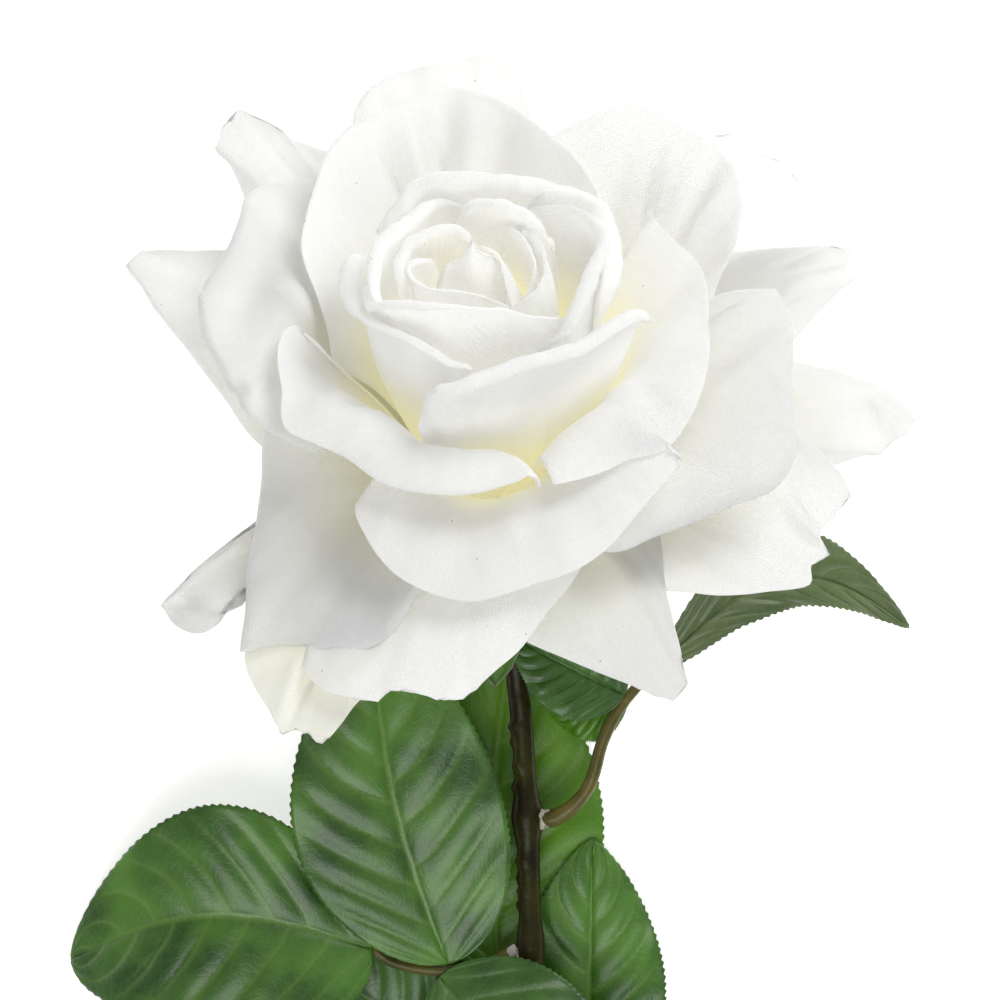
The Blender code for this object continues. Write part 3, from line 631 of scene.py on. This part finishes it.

# ---------------------------------------------------------------------------------------------------------
# Fan petals: six spreading petals under the bowl. Their tips are pinched to a point and left raw, so the
# cut edge is a little frayed and the corners turn up or down where a finger bent them.
# painted shade: a much greyer copy of the satin with almost no painted glow, for the lowest petals that lie
# in the flower's shade
hem_painted_shade_satin = satin_cloth("hem_painted_shade_satin", (0.77, 0.766, 0.74), (0.77, 0.75, 0.60), 0.026, 0.058, 0.02)
glue_petal("petal_fan_right_front", (48, 120, 118, 100, 85, 60), 1.15,
    [(290, 39.7, 24), (297, 44.2, 25), (305, 44.5, 25), (313, 46.5, 26), (321, 49.6, 27), (328, 54.4, 28.8),
    (335, 55, 30.2), (342, 53, 31), (350, 51, 31), (358, 51.3, 32), (6, 51.3, 33), (12, 50, 34),
    (12.8, 45.5, 34), (13.5, 40, 33.5)],
    corners=(11,), folds=[((0.45, 0.9), (0.35, 0.5), 4.0, 0.9), ((0.70, 0.95), (0.60, 0.45), 5.0, -0.9),
    ((0.62, 0.99), (0.66, 0.86), 1.2, 0.9), ((0.82, 0.98), (0.62, 0.50), 3.0, 1.8),
    ((0.90, 0.95), (0.72, 0.45), 3.5, -1.6)], curl=(3.0, 40, 60, 55, 25, 20), material=outer_painted_shade_satin,
    fray=[(0.55, 0.85, 0.5)])
glue_petal("petal_fan_right_back", (55, 60, 60, 60), 0.9,
    [(12, 35, 28), (17, 39.5, 29), (24, 44, 30.3), (30, 50, 32), (37, 55.5, 34), (43, 58.5, 35.3),
    (50, 58.8, 37), (57, 58.3, 38.5), (64, 57, 40), (68, 53, 40), (74, 48.5, 38.5), (82, 42, 37)],
    folds=[((0.50, 1.0), (0.40, 0.45), 2.6, 2.6), ((0.42, 1.0), (0.34, 0.50), 3.2, -2.6),
    ((0.60, 0.82), (0.44, 0.42), 1.2, -1.2), ((0.64, 0.80), (0.46, 0.40), 1.1, 1.1),
    ((0.56, 0.74), (0.42, 0.38), 1.0, 1.0), ((0.24, 0.95), (0.26, 0.5), 4.0, 1.4)],
    curl=(1.2, 10, 40, 30, 20))
glue_petal("petal_fan_left_back", (60, 70, 85, 90, 85), 1.0,
    [(110, 46, 31), (121, 53.5, 32), (126, 61.5, 32), (127.5, 66, 33), (130, 73.5, 33), (133, 72.5, 33),
    (135, 71, 33), (137, 69.5, 32), (137, 66, 31), (139, 60, 26), (145, 50, 22)],
    corners=(4, 7), folds=[((0.25, 0.9), (0.45, 0.8), 3.0, 0.8)], curl=(1.0, 5, 8, 10, 5),
    material=outer_painted_shade_satin, fray=[(0.38, 0.66, 1.0)])
glue_petal("petal_fan_left_front", (46, 105, 118, 125, 122, 110), 1.35,
    [(198, 38, 27), (201, 42.3, 26), (210, 46, 23), (217, 50.7, 20), (221, 55.2, 17), (225, 59.8, 13),
    (228.5, 64.8, 9), (231, 61.8, 9.5), (235, 58.6, 10.3), (240, 57.2, 11.3), (244.5, 56, 12.3),
    (248, 54.4, 14), (251, 52, 17), (253, 49.4, 19.5), (255, 46.5, 22)],
    corners=(6,), folds=[((0.45, 0.93), (0.85, 0.93), 2.5, -0.6)], curl=(2.8, 10, 35, 65, 75, 40),
    material=outer_painted_shade_satin, fray=[(0.40, 0.55, 0.5)])
glue_petal("petal_fan_left", (65, 92, 95, 95, 92), 1.0,
    [(149, 44, 30), (153, 52, 30), (156, 61, 29), (158, 68.5, 28), (161, 69.5, 27.5), (163, 66, 26),
    (167, 61, 24.5), (173, 54, 22), (182, 47.5, 19.5), (194, 42, 16), (202, 36, 15)],
    corners=(3, 4), curl=(1.3, 10, 60, 60, 20), material=outer_painted_shade_satin, fray=[(0.36, 0.50, 0.6)])
glue_petal("petal_fan_right", (65, 90, 90, 90), 1.0,
    [(7, 46, 17), (13, 54.5, 18), (17, 60.5, 19.3), (20, 66.4, 20.5), (21, 69.8, 21), (22.5, 68.8, 21.5),
    (25.5, 71.8, 22), (27.4, 69, 22.5), (29, 63.7, 23.5), (30.5, 57.1, 25), (32.7, 50.8, 25.5),
    (35.5, 46, 24)],
    corners=(4, 6), folds=[((0.60, 0.98), (0.62, 0.72), 1.6, -1.4), ((0.50, 0.98), (0.56, 0.74), 1.4, 1.1)],
    curl=(0.8, 10, 20, 20, 10), material=outer_painted_shade_satin, fray=[(0.42, 0.60, 0.7)])

# ---------------------------------------------------------------------------------------------------------
# Skirt and hem petals: nine outermost petals glued under the cup's edge. They hang back towards the stem,
# the lowest with yellowed, folded tips, and are the ones that the flower rests on.
yellowed_satin = satin_cloth("yellowed_satin", (0.95, 0.935, 0.79), (0.93, 0.90, 0.58), 0.030, 0.074, 0.08)

glue_petal("petal_skirt_front", (47, 120, 125, 125, 115), 1.45,
    [(231, 55, 15), (237, 64.5, 12), (242, 66.5, 10.5), (247, 66.5, 9.7), (252, 65, 9), (253.5, 63, 10),
    (257, 62.3, 10), (261, 63, 10), (265, 62.5, 10), (270, 58, 12.5), (275, 54, 14), (280, 50, 17),
    (286, 46.5, 19.5), (294, 41, 22)],
    corners=(4, 8), folds=[((0.75, 0.95), (0.70, 0.65), 2.5, -0.6), ((0.84, 0.9), (0.78, 0.6), 2.5, -0.6)],
    curl=(1.0, 10, 10, 15, 20), fray=[(0.30, 0.62, 0.5)])
glue_petal("petal_skirt_front_right", (50, 105, 118, 120, 110), 1.4,
    [(270, 42, 9), (276, 48, 8), (283, 52, 7), (289, 56.5, 6), (294, 61, 5), (298, 65, 4), (301, 64.5, 5),
    (302, 61, 6), (304, 56, 8), (307, 49.5, 11), (312, 43.5, 13.5), (318, 38, 15)],
    corners=(6,), folds=[((0.45, 0.7), (0.50, 0.95), 5.0, 0.7)], curl=(1.0, 10, 20, 20, 10),
    material=hem_painted_shade_satin, fray=[(0.40, 0.60, 0.6)])
glue_petal("petal_skirt_right_front", (58, 108, 112, 108, 100), 1.2,
    [(302, 46, 12), (308, 50, 12), (317, 57.5, 10), (322, 61, 9), (327, 65.5, 8.5), (330, 64, 9),
    (333, 66, 9.5), (335, 63, 11.5), (339, 64.5, 13), (342, 66, 14), (345, 63, 16), (348, 57, 18),
    (351, 51, 20)],
    corners=(6, 9), folds=[((0.56, 0.99), (0.66, 0.70), 1.4, -1.8), ((0.64, 0.99), (0.72, 0.72), 2.0, 1.4)],
    curl=(1.0, 20, 25, 15, 10), material=outer_painted_shade_satin, fray=[(0.50, 0.80, 0.6)])
glue_petal("petal_skirt_right", (65, 95, 95, 95), 1.0,
    [(343, 50, 12), (347.5, 58.5, 12), (350.6, 64.1, 12.5), (351.5, 67.2, 13), (352, 69.5, 13),
    (354, 71.1, 13.5), (355.4, 73.3, 14), (357.4, 75, 15), (0, 73.6, 15.3), (2.5, 70.3, 15.8),
    (5.2, 64.3, 16.5), (9, 56, 17), (14, 48, 17)],
    corners=(4, 7), folds=[((0.40, 1.0), (0.54, 0.84), 1.3, -1.6), ((0.46, 1.0), (0.58, 0.88), 1.4, 1.2),
    ((0.20, 0.9), (0.30, 0.5), 5.0, 1.0)], curl=(1.2, 5, 8, 25, 20), material=outer_painted_shade_satin,
    fray=[(0.38, 0.56, 0.5)])
glue_petal("petal_skirt_back", (60, 70, 75, 75), 1.0,
    [(80, 50, 29), (84, 58.5, 31), (87, 66, 35), (90, 67.3, 36.5), (94, 66.5, 37), (100, 65, 37),
    (106, 65.3, 36), (112, 63, 35.5), (115, 61, 33.5), (117, 57, 31), (121, 49, 29)],
    folds=[((0.72, 0.95), (0.64, 0.6), 2.5, 0.8)], curl=(1.2, 20, 50, 60, 30))
glue_petal("petal_skirt_right_back", (70, 85, 85, 85), 1.0,
    [(23, 58, 18), (31, 71, 19), (34, 72.5, 21.5), (39, 73, 23), (44, 73.3, 25), (48, 70.5, 27),
    (51.5, 71, 28), (54, 67, 28), (57, 60, 28), (63, 50, 28)],
    corners=(6,), folds=[((0.55, 0.95), (0.50, 0.6), 2.5, 0.9), ((0.42, 0.95), (0.45, 0.6), 2.5, -0.8)],
    curl=(1.0, 10, 20, 20, 10), fray=[(0.45, 0.70, 0.6)])
glue_petal("petal_hem_left_front", (70, 112, 115, 115, 115), 1.2,
    [(205, 42, 16), (212.5, 48.6, 15), (212.7, 54.9, 13), (213.3, 61, 11), (213.8, 66.4, 9), (214, 69.8, 7),
    (217.7, 70, 6.5), (220.4, 68.8, 6.5), (221.9, 66.4, 7), (221.6, 63.1, 8), (221.4, 60.5, 9),
    (223, 57, 9.5), (230, 50, 9)],
    corners=(5,), folds=[((0.48, 0.98), (0.62, 0.86), 1.6, 1.4), ((0.62, 0.86), (0.78, 0.80), 1.6, 1.2),
    ((0.56, 1.0), (0.70, 0.94), 2.0, -1.2)], curl=(1.6, 10, 15, 25, 25, 15), material=hem_painted_shade_satin,
    fray=[(0.38, 0.50, 0.5)])
glue_petal("petal_hem_front_left", (72, 118, 120, 120), 1.2,
    [(225, 57, 6), (227.5, 64, 5), (230, 67, 4), (233.5, 69.1, 3.2), (237.5, 71.1, 2), (239.7, 73.1, 1.2),
    (241.7, 70.9, 1.6), (245.4, 71.6, 1.2), (246.7, 67.6, 2.5), (248, 63.5, 4.5), (250, 59, 6),
    (254, 54, 8)],
    corners=(5, 7), folds=[((0.48, 0.98), (0.42, 0.55), 1.5, 1.3), ((0.42, 0.98), (0.36, 0.55), 1.8, -1.0)],
    curl=(0.9, 10, 15, 15, 10), material=yellowed_satin, fray=[(0.40, 0.66, 0.7)])
glue_petal("petal_hem_back", (80, 100, 100, 100), 1.0,
    [(60, 54, 3), (67, 59, 3), (74, 62, 3), (83, 63.4, 3), (92, 64, 3), (101, 63, 3), (110, 61, 3),
    (118, 57, 3.5), (124, 52, 4)],
    curl=(1.0, 15, 20, 15), material=hem_painted_shade_satin)

# ---------------------------------------------------------------------------------------------------------
# Sepals: five narrow green cloth leaves glued under the receptacle's edge. They are cut with a fine point,
# pressed with one rib down the middle, and bend away from the petals.
SEPAL_COUNT, FIRST_SEPAL = 5, 54.0              # how many, and the first one's azimuth
SEPAL_FOOT, SEPAL_LENGTH, SEPAL_HALF = 11.4, 24.0, 5.5   # distance from the axis, length, half its width
SEPAL_HEIGHT, SEPAL_DROP, SEPAL_BEND = -12.9, 3.0, 6.0   # at the foot, then down in a line and a bend
LEAF_THICKNESS, VEIN_PAIRS = 0.42, 8.0
VEIN_STAGGER, VEIN_SWEEP, VEIN_CURVE = 0.055, 0.26, 1.35    # how the side veins leave the midrib


def leaf_group():
    """Pressed leaf: pale ribs that leave the midrib and bend to the tip, a fine net, mottled dye, satin."""
    tree, given, out = start_group(
        "leaf veins and dye",
        {"Blade Place": "Vector", "Place": "Vector", "Green": "Color", "Dark": "Color", "Vein": "Color",
         "Vein Pairs": "Float", "Vein Show": "Float", "Gloss": "Float"},
        {"Colour": "Color", "Roughness": "Float", "Relief": "Float"})
    node, maths, mix = partial(add_node, tree), partial(math_in, tree), partial(mix_in, tree)

    def line(value, half_width, soft):
        """1 on a line where the value is 0, fading to 0 past its half width."""
        return node("MapRange", {"Value": maths("ABSOLUTE", value), "From Min": half_width,
                                 "From Max": half_width + soft, "To Min": 1.0, "To Max": 0.0},
                    interpolation_type="SMOOTHSTEP").outputs["Result"]

    # veins: a midrib, and side veins in pairs that are a little out of step
    split = node("SeparateXYZ", {0: given["Blade Place"]})
    side = maths("MULTIPLY_ADD", split.outputs[0], 2.0, -1.0)
    across = maths("ABSOLUTE", side)
    wobble = node("TexNoise", {"Vector": given["Place"], "Scale": 160.0, "Detail": 0.0})
    step = maths("MULTIPLY", maths("GREATER_THAN", side, 0.0), VEIN_STAGGER)
    back = maths("MULTIPLY", maths("POWER", across, VEIN_CURVE), VEIN_SWEEP)
    along = maths("SUBTRACT", maths("ADD", split.outputs[1], step), back)
    along = maths("MULTIPLY_ADD", wobble.outputs["Fac"], 0.022, along)
    from_vein = maths("SUBTRACT", maths("FRACT", maths("MULTIPLY", along, given["Vein Pairs"])), 0.5)
    side_vein = line(from_vein, 0.012, 0.10)
    side_vein = maths("MULTIPLY", side_vein, maths("SUBTRACT", 1.0, maths("POWER", across, 3.0)))
    midrib = line(side, 0.012, 0.045)
    ribs = maths("MAXIMUM", maths("MULTIPLY", side_vein, 0.75), midrib)
    net = node("TexVoronoi", {"Vector": given["Place"], "Scale": 620.0}, feature="DISTANCE_TO_EDGE")
    net_line = line(net.outputs["Distance"], 0.02, 0.10)

    # dye: mottled, paler in the net and along the veins
    mottle = node("TexNoise", {"Vector": given["Place"], "Scale": 75.0, "Detail": 3.0}).outputs["Fac"]
    patches = node("MapRange", {"Value": mottle, "From Min": 0.34, "From Max": 0.66}).outputs["Result"]
    ground = mix(patches, given["Dark"], given["Green"])
    ground = mix(maths("MULTIPLY", net_line, 0.10), ground, given["Vein"])
    ground = mix(maths("MULTIPLY", line(from_vein, 0.05, 0.30), 0.12), ground, given["Vein"])
    threads = node("TexNoise", {"Vector": given["Place"], "Scale": 1800.0, "Detail": 0.0})
    relief = maths("MULTIPLY_ADD", threads.outputs["Fac"], 0.25, maths("MULTIPLY", ribs, -0.8))
    wire(tree, out, {"Colour": mix(maths("MULTIPLY", ribs, given["Vein Show"]), ground, given["Vein"]),
                     "Roughness": maths("MULTIPLY_ADD", mottle, 0.16, given["Gloss"]),
                     "Relief": maths("MULTIPLY_ADD", net_line, -0.25, relief)})
    return tree


pressed_leaf = leaf_group()


def leaf_cloth(name, green, dark, vein, show=0.5, gloss=0.30, specular=0.34):
    """Printed polyester leaf cloth with pressed veins and a waxed, satin face."""
    material, tree, shader, place = start_material(name)
    blade = add_node(tree, "UVMap", {}, uv_map="blade")
    leaf = add_node(tree, "Group", {}, node_tree=pressed_leaf)
    wire(tree, leaf, {"Blade Place": blade.outputs["UV"], "Place": place, "Green": (*green, 1.0),
                      "Dark": (*dark, 1.0), "Vein": (*vein, 1.0), "Vein Pairs": VEIN_PAIRS,
                      "Vein Show": show, "Gloss": gloss})
    bump = add_node(tree, "Bump", {"Height": leaf.outputs["Relief"], "Strength": 0.5, "Distance": 0.0002})
    wire(tree, shader, {"Base Color": leaf.outputs["Colour"], "Roughness": leaf.outputs["Roughness"],
                        "Normal": bump.outputs["Normal"], "Specular IOR Level": specular,
                        "Coat Weight": 0.45, "Coat Roughness": 0.30})
    return material


leaf_green = leaf_cloth("leaf_green", (0.088, 0.240, 0.024), (0.019, 0.080, 0.006), (0.15, 0.29, 0.045),
                        specular=0.42)
leaf_under = leaf_cloth("leaf_underside", (0.110, 0.165, 0.070), (0.080, 0.125, 0.050), (0.18, 0.24, 0.11),
                        show=0.35, gloss=0.52, specular=0.3)


def blade_piece(name, sheet, upper, under, node):
    """A leaf of cloth, marked with the place across and along its blade, and its own colour underneath."""
    across, along = np.indices(sheet.shape[:2])
    marks = np.stack([across / across.max(), along / along.max()], axis=-1)
    piece = cloth_piece(name, sheet, "blade", marks, LEAF_THICKNESS, upper, node)
    piece.data.materials.append(under)
    piece.modifiers["thickness"].material_offset = 1
    return piece


def sepal_sheet(azimuth, across=16, along=40):
    """A sepal about the flower's axis: pointed, ribbed down the middle, with a lightly toothed edge."""
    t = np.linspace(0.0, 1.0, along + 1)[None, :]
    w = np.linspace(-1.0, 1.0, across + 1)[:, None]
    radius = SEPAL_FOOT + SEPAL_LENGTH * t
    height = SEPAL_HEIGHT - SEPAL_DROP * t - SEPAL_BEND * t ** 2
    tooth = 0.25 * (np.arange(along + 1) % 4 == 0) * (np.abs(w) > 0.95)
    half = np.maximum(SEPAL_HALF * (1 - t) ** 0.6 * (1 + 1.2 * t), 0.25) + tooth
    angle = math.radians(azimuth) + np.arctan2(half * w, radius)
    reach = np.hypot(radius, half * w)
    rib = -0.35 * np.exp(-(w / 0.16) ** 2) * (1 - t) + 0.25 * np.sin(9 * t + azimuth) * w ** 2
    return np.stack([reach * np.cos(angle), reach * np.sin(angle), height + 1.2 * w * w + rib], axis=-1)


for k in range(SEPAL_COUNT):
    sheet = to_table(sepal_sheet(FIRST_SEPAL + k * 360.0 / SEPAL_COUNT))[::-1]
    blade_piece(f"sepal_leaf_{k + 1}", sheet, leaf_under, leaf_green, f"sepal_{k + 1}")

# ---------------------------------------------------------------------------------------------------------
# Stem: steel wire over-moulded with brown-green plastic, thin where it leaves the receptacle, with small
# cast bumps in place of thorns and a swelling at each place where a leaf stalk is plugged in.
STEM_RADIUS, STEM_TAPER = 2.1, 0.3              # radius at the flower, and how much it loses to the cut end
BUMP_HEIGHT, BUMP_SIZE = 0.75, 0.9
STEM_ROUTE = [(1.6, 104.5, 16.0), (3.8, 92.0, 10.6), (5.6, 72.0, 8.6), (6.6, 45.0, 8.2), (6.8, 10.0, 7.6),
              (5.0, -40.0, 6.0), (1.5, -95.0, 4.2), (-2.0, -150.0, 2.6), (-4.0, -204.0, 1.82)]
STEM_JOINTS = [(62.5, 1.0, 4.0), (38.0, 0.7, 4.5), (6.0, 0.6, 4.0), (-8.0, 0.6, 4.0), (-90.0, 0.45, 3.0),
               (-150.0, 0.4, 3.0)]              # place along the table, swelling and its length
STEM_BUMPS = [(80.0, 20), (77.0, -30), (72.5, 35), (68.5, 10), (54.5, 25), (51.0, -20), (48.5, 30),
              (46.0, 15), (26.0, 200), (15.0, 30), (-20.0, 160), (-36.0, 20), (-58.0, -40), (-76.0, 190),
              (-112.0, 15), (-131.0, 140), (-168.0, 40), (-186.0, -20)]    # place along, side in degrees


def smooth_route(points, step):
    """Places every step or so along a smooth curve through the given ones."""
    length = np.linalg.norm(np.diff(points, axis=0), axis=1).sum()
    return spread(points, max(int(length / step), 8))


def moulded_rod(route, radius_at, sides=20):
    """A closed rod along a route: a ring drawn out from place to place, then capped."""
    bm = bmesh.new()
    ring = bmesh.ops.create_circle(bm, cap_ends=False, segments=sides, radius=1.0)["verts"]
    ways = np.gradient(route, axis=0)
    ways /= np.linalg.norm(ways, axis=1, keepdims=True)
    first = list(ring)
    for k, (place, way) in enumerate(zip(route, ways)):
        if k:
            edges = [bm.edges.get((ring[n], ring[(n + 1) % sides])) for n in range(sides)]
            drawn = bmesh.ops.extrude_edge_only(bm, edges=edges)["geom"]
            new = {v for v in drawn if isinstance(v, bmesh.types.BMVert)}
            ring = [next(e.other_vert(v) for e in v.link_edges if e.other_vert(v) in new) for v in ring]
        right = np.cross(way, (0.0, 0.0, 1.0))
        right /= np.linalg.norm(right)
        up = np.cross(right, way)
        for n, vert in enumerate(ring):
            angle = n * math.tau / sides
            outward = math.cos(angle) * right + math.sin(angle) * up
            vert.co = Vector(place + radius_at(place, angle) * outward)
    for end in (first, ring):
        bm.faces.new(end)
    bmesh.ops.recalc_face_normals(bm, faces=bm.faces[:])
    return bm


def stem_radius(place, angle):
    """The stem's radius at a place and an angle round it, with joints, bumps and a slight unevenness."""
    y = place[1]
    radius = STEM_RADIUS - STEM_TAPER * min(1.0, max(0.0, (105.0 - y) / 300.0))
    for at, rise, size in STEM_JOINTS:
        radius += rise * math.exp(-((y - at) / size) ** 2)
    for at, side in STEM_BUMPS:
        turn = math.cos(angle - math.radians(side))
        radius += BUMP_HEIGHT * math.exp(-((y - at) / BUMP_SIZE) ** 2) * max(0.0, turn) ** 6
    return radius + 0.10 * noise.noise(Vector((y * 0.35, math.cos(angle), math.sin(angle))))


stem_top = [to_table((0.0, 0.0, -21.3)), to_table((0.0, 0.0, -27.0))]
stem_rod = moulded_rod(smooth_route([*stem_top, *STEM_ROUTE], 0.9), stem_radius, sides=24)
add_piece("stem_rod", stem_rod, stem_brown, "stem")

# ---------------------------------------------------------------------------------------------------------
# Leaf stalks: thin plastic-covered wires plugged into the stem, each with a thick foot, a lighter olive
# tan than the stem, and a smear of dried glue at the joint.
stalk_olive = moulded_plastic("stalk_olive", (0.150, 0.125, 0.025), (0.060, 0.060, 0.010), 0.3, 0.34)
STALK_FOOT, STALK_TAPER = 1.5, 0.6              # radius at the joint, and how much it loses to the end
STALKS = {
    "stalk_left": [(6.6, 38.0, 8.2), (-2.0, 34.5, 8.0), (-11.0, 33.6, 8.0), (-19.0, 35.0, 8.2),
                   (-23.5, 38.0, 8.4)],
    "stalk_right": [(6.4, 62.5, 8.4), (12.0, 63.0, 10.0), (17.5, 68.5, 12.0), (20.5, 78.0, 13.5),
                    (24.5, 85.0, 14.0), (31.0, 92.0, 14.0)],
    "stalk_lower": [(6.8, 6.0, 7.6), (1.5, 7.5, 5.0), (-0.5, 14.0, 3.2), (-0.5, 24.0, 2.4), (0.5, 32.0, 2.0)],
    "stalk_lower_right": [(6.7, -8.0, 7.4), (11.5, -6.5, 5.0), (16.0, -1.0, 3.2), (17.4, 7.0, 2.6)],
}
for name, points in STALKS.items():
    route = smooth_route(points, 0.5)
    start = np.array(points[0])
    route = route[np.linalg.norm(route - start, axis=1) > STEM_RADIUS + 0.3]
    length = np.linalg.norm(route[-1] - start)

    def stalk_radius(place, angle):
        gone = np.linalg.norm(place - start)
        foot = STALK_FOOT - STALK_TAPER * min(1.0, gone / length)
        return foot + 0.35 * math.exp(-((gone - 5.0) / 2.5) ** 2) + 0.08 * noise.noise(Vector(place) * 0.8)

    add_piece(f"{name}_wire", moulded_rod(route, stalk_radius, sides=14), stalk_olive, name)
    glue = bmesh.new()
    bmesh.ops.create_icosphere(glue, subdivisions=4, radius=1.0)
    run = (route[4] - route[0]) / np.linalg.norm(route[4] - route[0])
    centre = route[0] + run * 0.6 + np.array([0.0, 0.0, 0.5])
    for vert in glue.verts:
        lump = 1.0 + 0.35 * noise.noise(vert.co * 1.6 + Vector(centre))
        vert.co = Vector(centre + np.array(vert.co) * (1.5, 1.9, 1.2) * lump)
    add_piece(f"{name}_glue", glue, dried_glue, None)

# ---------------------------------------------------------------------------------------------------------
# Leaves: nine blades of printed green cloth glued along the stalks. Each was die-cut with a toothed edge
# and pressed in a heated mould, which raised the cloth between the midrib and its curved side veins.
LEAF_ACROSS, LEAF_TEETH = 44, 38
LEAF_ALONG = 3 * LEAF_TEETH
TOOTH, PUFF, GROOVE, FLUTTER = 0.42, 0.8, 0.35, 0.6      # teeth, cloth between veins, midrib, wavy edge


def leaf_sheet(base, tip, width, arch, bend_by, fold, roll, belly=0.8, blunt=0.7, shares=(1.0, 1.0)):
    """A leaf blade on the table, [across][along]: its midrib arches from base to tip, its two halves rise
    from the midrib, and its cloth is pressed between the veins."""
    base, tip = np.array(base, float), np.array(tip, float)
    chord = tip - base
    side = np.cross((0.0, 0.0, 1.0), chord)
    side /= np.linalg.norm(side)
    up = np.cross(chord, side)
    up /= np.linalg.norm(up)
    turn, lift = math.radians(roll), math.radians(fold)
    across_way = side * math.cos(turn) + up * math.sin(turn)
    upward = up * math.cos(turn) - side * math.sin(turn)
    t = np.linspace(0.0, 1.0, LEAF_ALONG + 1)[None, :, None]
    w = np.linspace(-1.0, 1.0, LEAF_ACROSS + 1)[:, None, None]
    midrib = base + chord * t + (up * arch + side * bend_by) * np.sin(np.pi * t)
    share = np.where(w > 0, shares[0], shares[1])
    half = width / 2 * share * np.maximum(np.sin(np.pi * t ** belly) ** blunt, 0.04)
    tooth = (np.arange(LEAF_ALONG + 1) % 3)[None, :, None] / 2.0
    half = half + TOOTH * (tooth - 0.4) * (np.abs(w) > 0.99) * np.sin(np.pi * t) ** 0.3
    out = np.abs(w)
    ranks = (t + VEIN_STAGGER * (w > 0) - VEIN_SWEEP * out ** VEIN_CURVE) * VEIN_PAIRS
    between = np.abs(np.sin(np.pi * (ranks - 0.5))) ** 0.7
    puff = PUFF * between * np.sin(np.pi * np.clip(out, 0.0, 1.0)) ** 0.8 * np.sin(np.pi * t) ** 0.5
    groove = -GROOVE * np.exp(-(w / 0.05) ** 2)
    flutter = FLUTTER * np.sin(7.0 * t * np.pi + 1.3 * np.sign(w)) * out ** 3 * np.sin(np.pi * t)
    rise = puff + groove + flutter
    return midrib + half * (across_way * w * math.cos(lift) + upward * out * math.sin(lift)) + upward * rise


leaf_bright = leaf_cloth("leaf_bright", (0.127, 0.323, 0.014), (0.063, 0.197, 0.008), (0.20, 0.36, 0.05))
leaf_olive = leaf_cloth("leaf_olive", (0.130, 0.185, 0.070), (0.065, 0.105, 0.035), (0.20, 0.26, 0.12))
leaf_deep = leaf_cloth("leaf_deep", (0.062, 0.172, 0.022), (0.014, 0.058, 0.006), (0.10, 0.21, 0.04),
                       specular=0.42)
LEAVES = [
    ("leaf_left_end", (-23.2, 37.9, 9.9), (-81.0, 35.0, 0.4), 42.5, 8.0, -8.0, 5.0, 0.0, 0.8, 0.58,
     leaf_green),
    ("leaf_left_upper", (-9.0, 35.0, 9.2), (-23.0, 98.0, 14.0), 40.0, 3.0, 3.0, 5.0, 0.0, 0.85, 0.6,
     leaf_green),
    ("leaf_left_lower", (-10.5, 32.5, 9.25), (24.0, -1.0, 10.0), 38.0, 5.0, -2.0, 8.0, 0.0, leaf_deep),
    ("leaf_right_end", (30.6, 91.4, 15.4), (79.0, 98.5, 0.5), 20.0, 7.0, 13.0, 5.0, 15.0, 0.8, 0.7,
     (1.0, 0.6), leaf_olive),
    ("leaf_right_upper", (24.2, 86.1, 15.1), (3.0, 97.0, 18.0), 18.0, 2.0, 0.0, 8.0, 0.0, leaf_deep),
    ("leaf_right_lower", (25.0, 85.2, 12.3), (9.5, 84.0, 7.0), 12.0, 0.5, 1.5, 3.0, 0.0, leaf_bright),
    ("leaf_lower_upper", (0.6, 32.9, 2.0), (3.0, 97.0, 1.0), 42.0, 0.2, 2.0, 0.0, 0.0, leaf_bright),
    ("leaf_lower_right", (17.5, 7.4, 2.8), (18.5, 58.0, 3.4), 29.0, 0.2, 0.0, 2.0, 0.0, leaf_green),
    ("leaf_lower_end", (-2.6, 14.5, 3.2), (-38.0, 36.0, 0.8), 34.0, 2.0, 0.0, 6.0, 0.0, leaf_deep),
]
for name, *shape, cloth in LEAVES:
    blade_piece(f"{name}_blade", leaf_sheet(*shape), cloth, leaf_under, name)

# ---------------------------------------------------------------------------------------------------------
# Studio: a pale matt table, a soft light from the back right, a broader one from high up in front, and the
# camera straight above the flower.
SKY_LIGHT = 0.31                                # the room's light; seen directly, the room is white
LIT_PLACE = Vector((0.0, 0.13, 0.05))           # metres; both lights face it
table = bmesh.new()
bmesh.ops.create_grid(table, x_segments=2, y_segments=2, size=1.5)
table_mesh = bpy.data.meshes.new("table")
table.to_mesh(table_mesh)
table.free()
floor = bpy.data.objects.new("table", table_mesh)
bpy.context.scene.collection.objects.link(floor)
paper = bpy.data.materials.new("pale_table")
paper.use_nodes = True
wire(paper.node_tree, paper.node_tree.nodes["Principled BSDF"],
     {"Base Color": (0.92, 0.92, 0.92, 1.0), "Roughness": 0.9, "Emission Color": (1.0, 1.0, 1.0, 1.0),
      "Emission Strength": 0.60})
table_mesh.materials.append(paper)

sky = bpy.data.worlds.new("soft studio")
sky.use_nodes = True
seen = add_node(sky.node_tree, "LightPath", {}).outputs["Is Camera Ray"]
strength = add_node(sky.node_tree, "MapRange", {"Value": seen, "To Min": SKY_LIGHT, "To Max": 1.0})
wire(sky.node_tree, sky.node_tree.nodes["Background"],
     {"Color": (1.0, 1.0, 1.0, 1.0), "Strength": strength.outputs["Result"]})
bpy.context.scene.world = sky


def soft_light(name, place, size, power):
    light = bpy.data.lights.new(name, "AREA")
    light.size = size
    light.energy = power
    lamp = bpy.data.objects.new(name, light)
    bpy.context.scene.collection.objects.link(lamp)
    lamp.location = place
    lamp.rotation_euler = (LIT_PLACE - Vector(place)).to_track_quat("-Z", "Y").to_euler()


soft_light("key", (0.42, 0.75, 0.62), 0.5, 4.5)
soft_light("front", (-0.12, -0.50, 0.95), 0.7, 5.2)

camera = bpy.data.cameras.new("camera")
camera.sensor_width = 36.0
camera.lens = 160.0
camera.clip_start = 0.01
viewer = bpy.data.objects.new("camera", camera)
bpy.context.scene.collection.objects.link(viewer)
viewer.location = (0.00091, 0.12271, 0.85)
bpy.context.scene.camera = viewer
bpy.context.scene.view_settings.view_transform = "Standard"
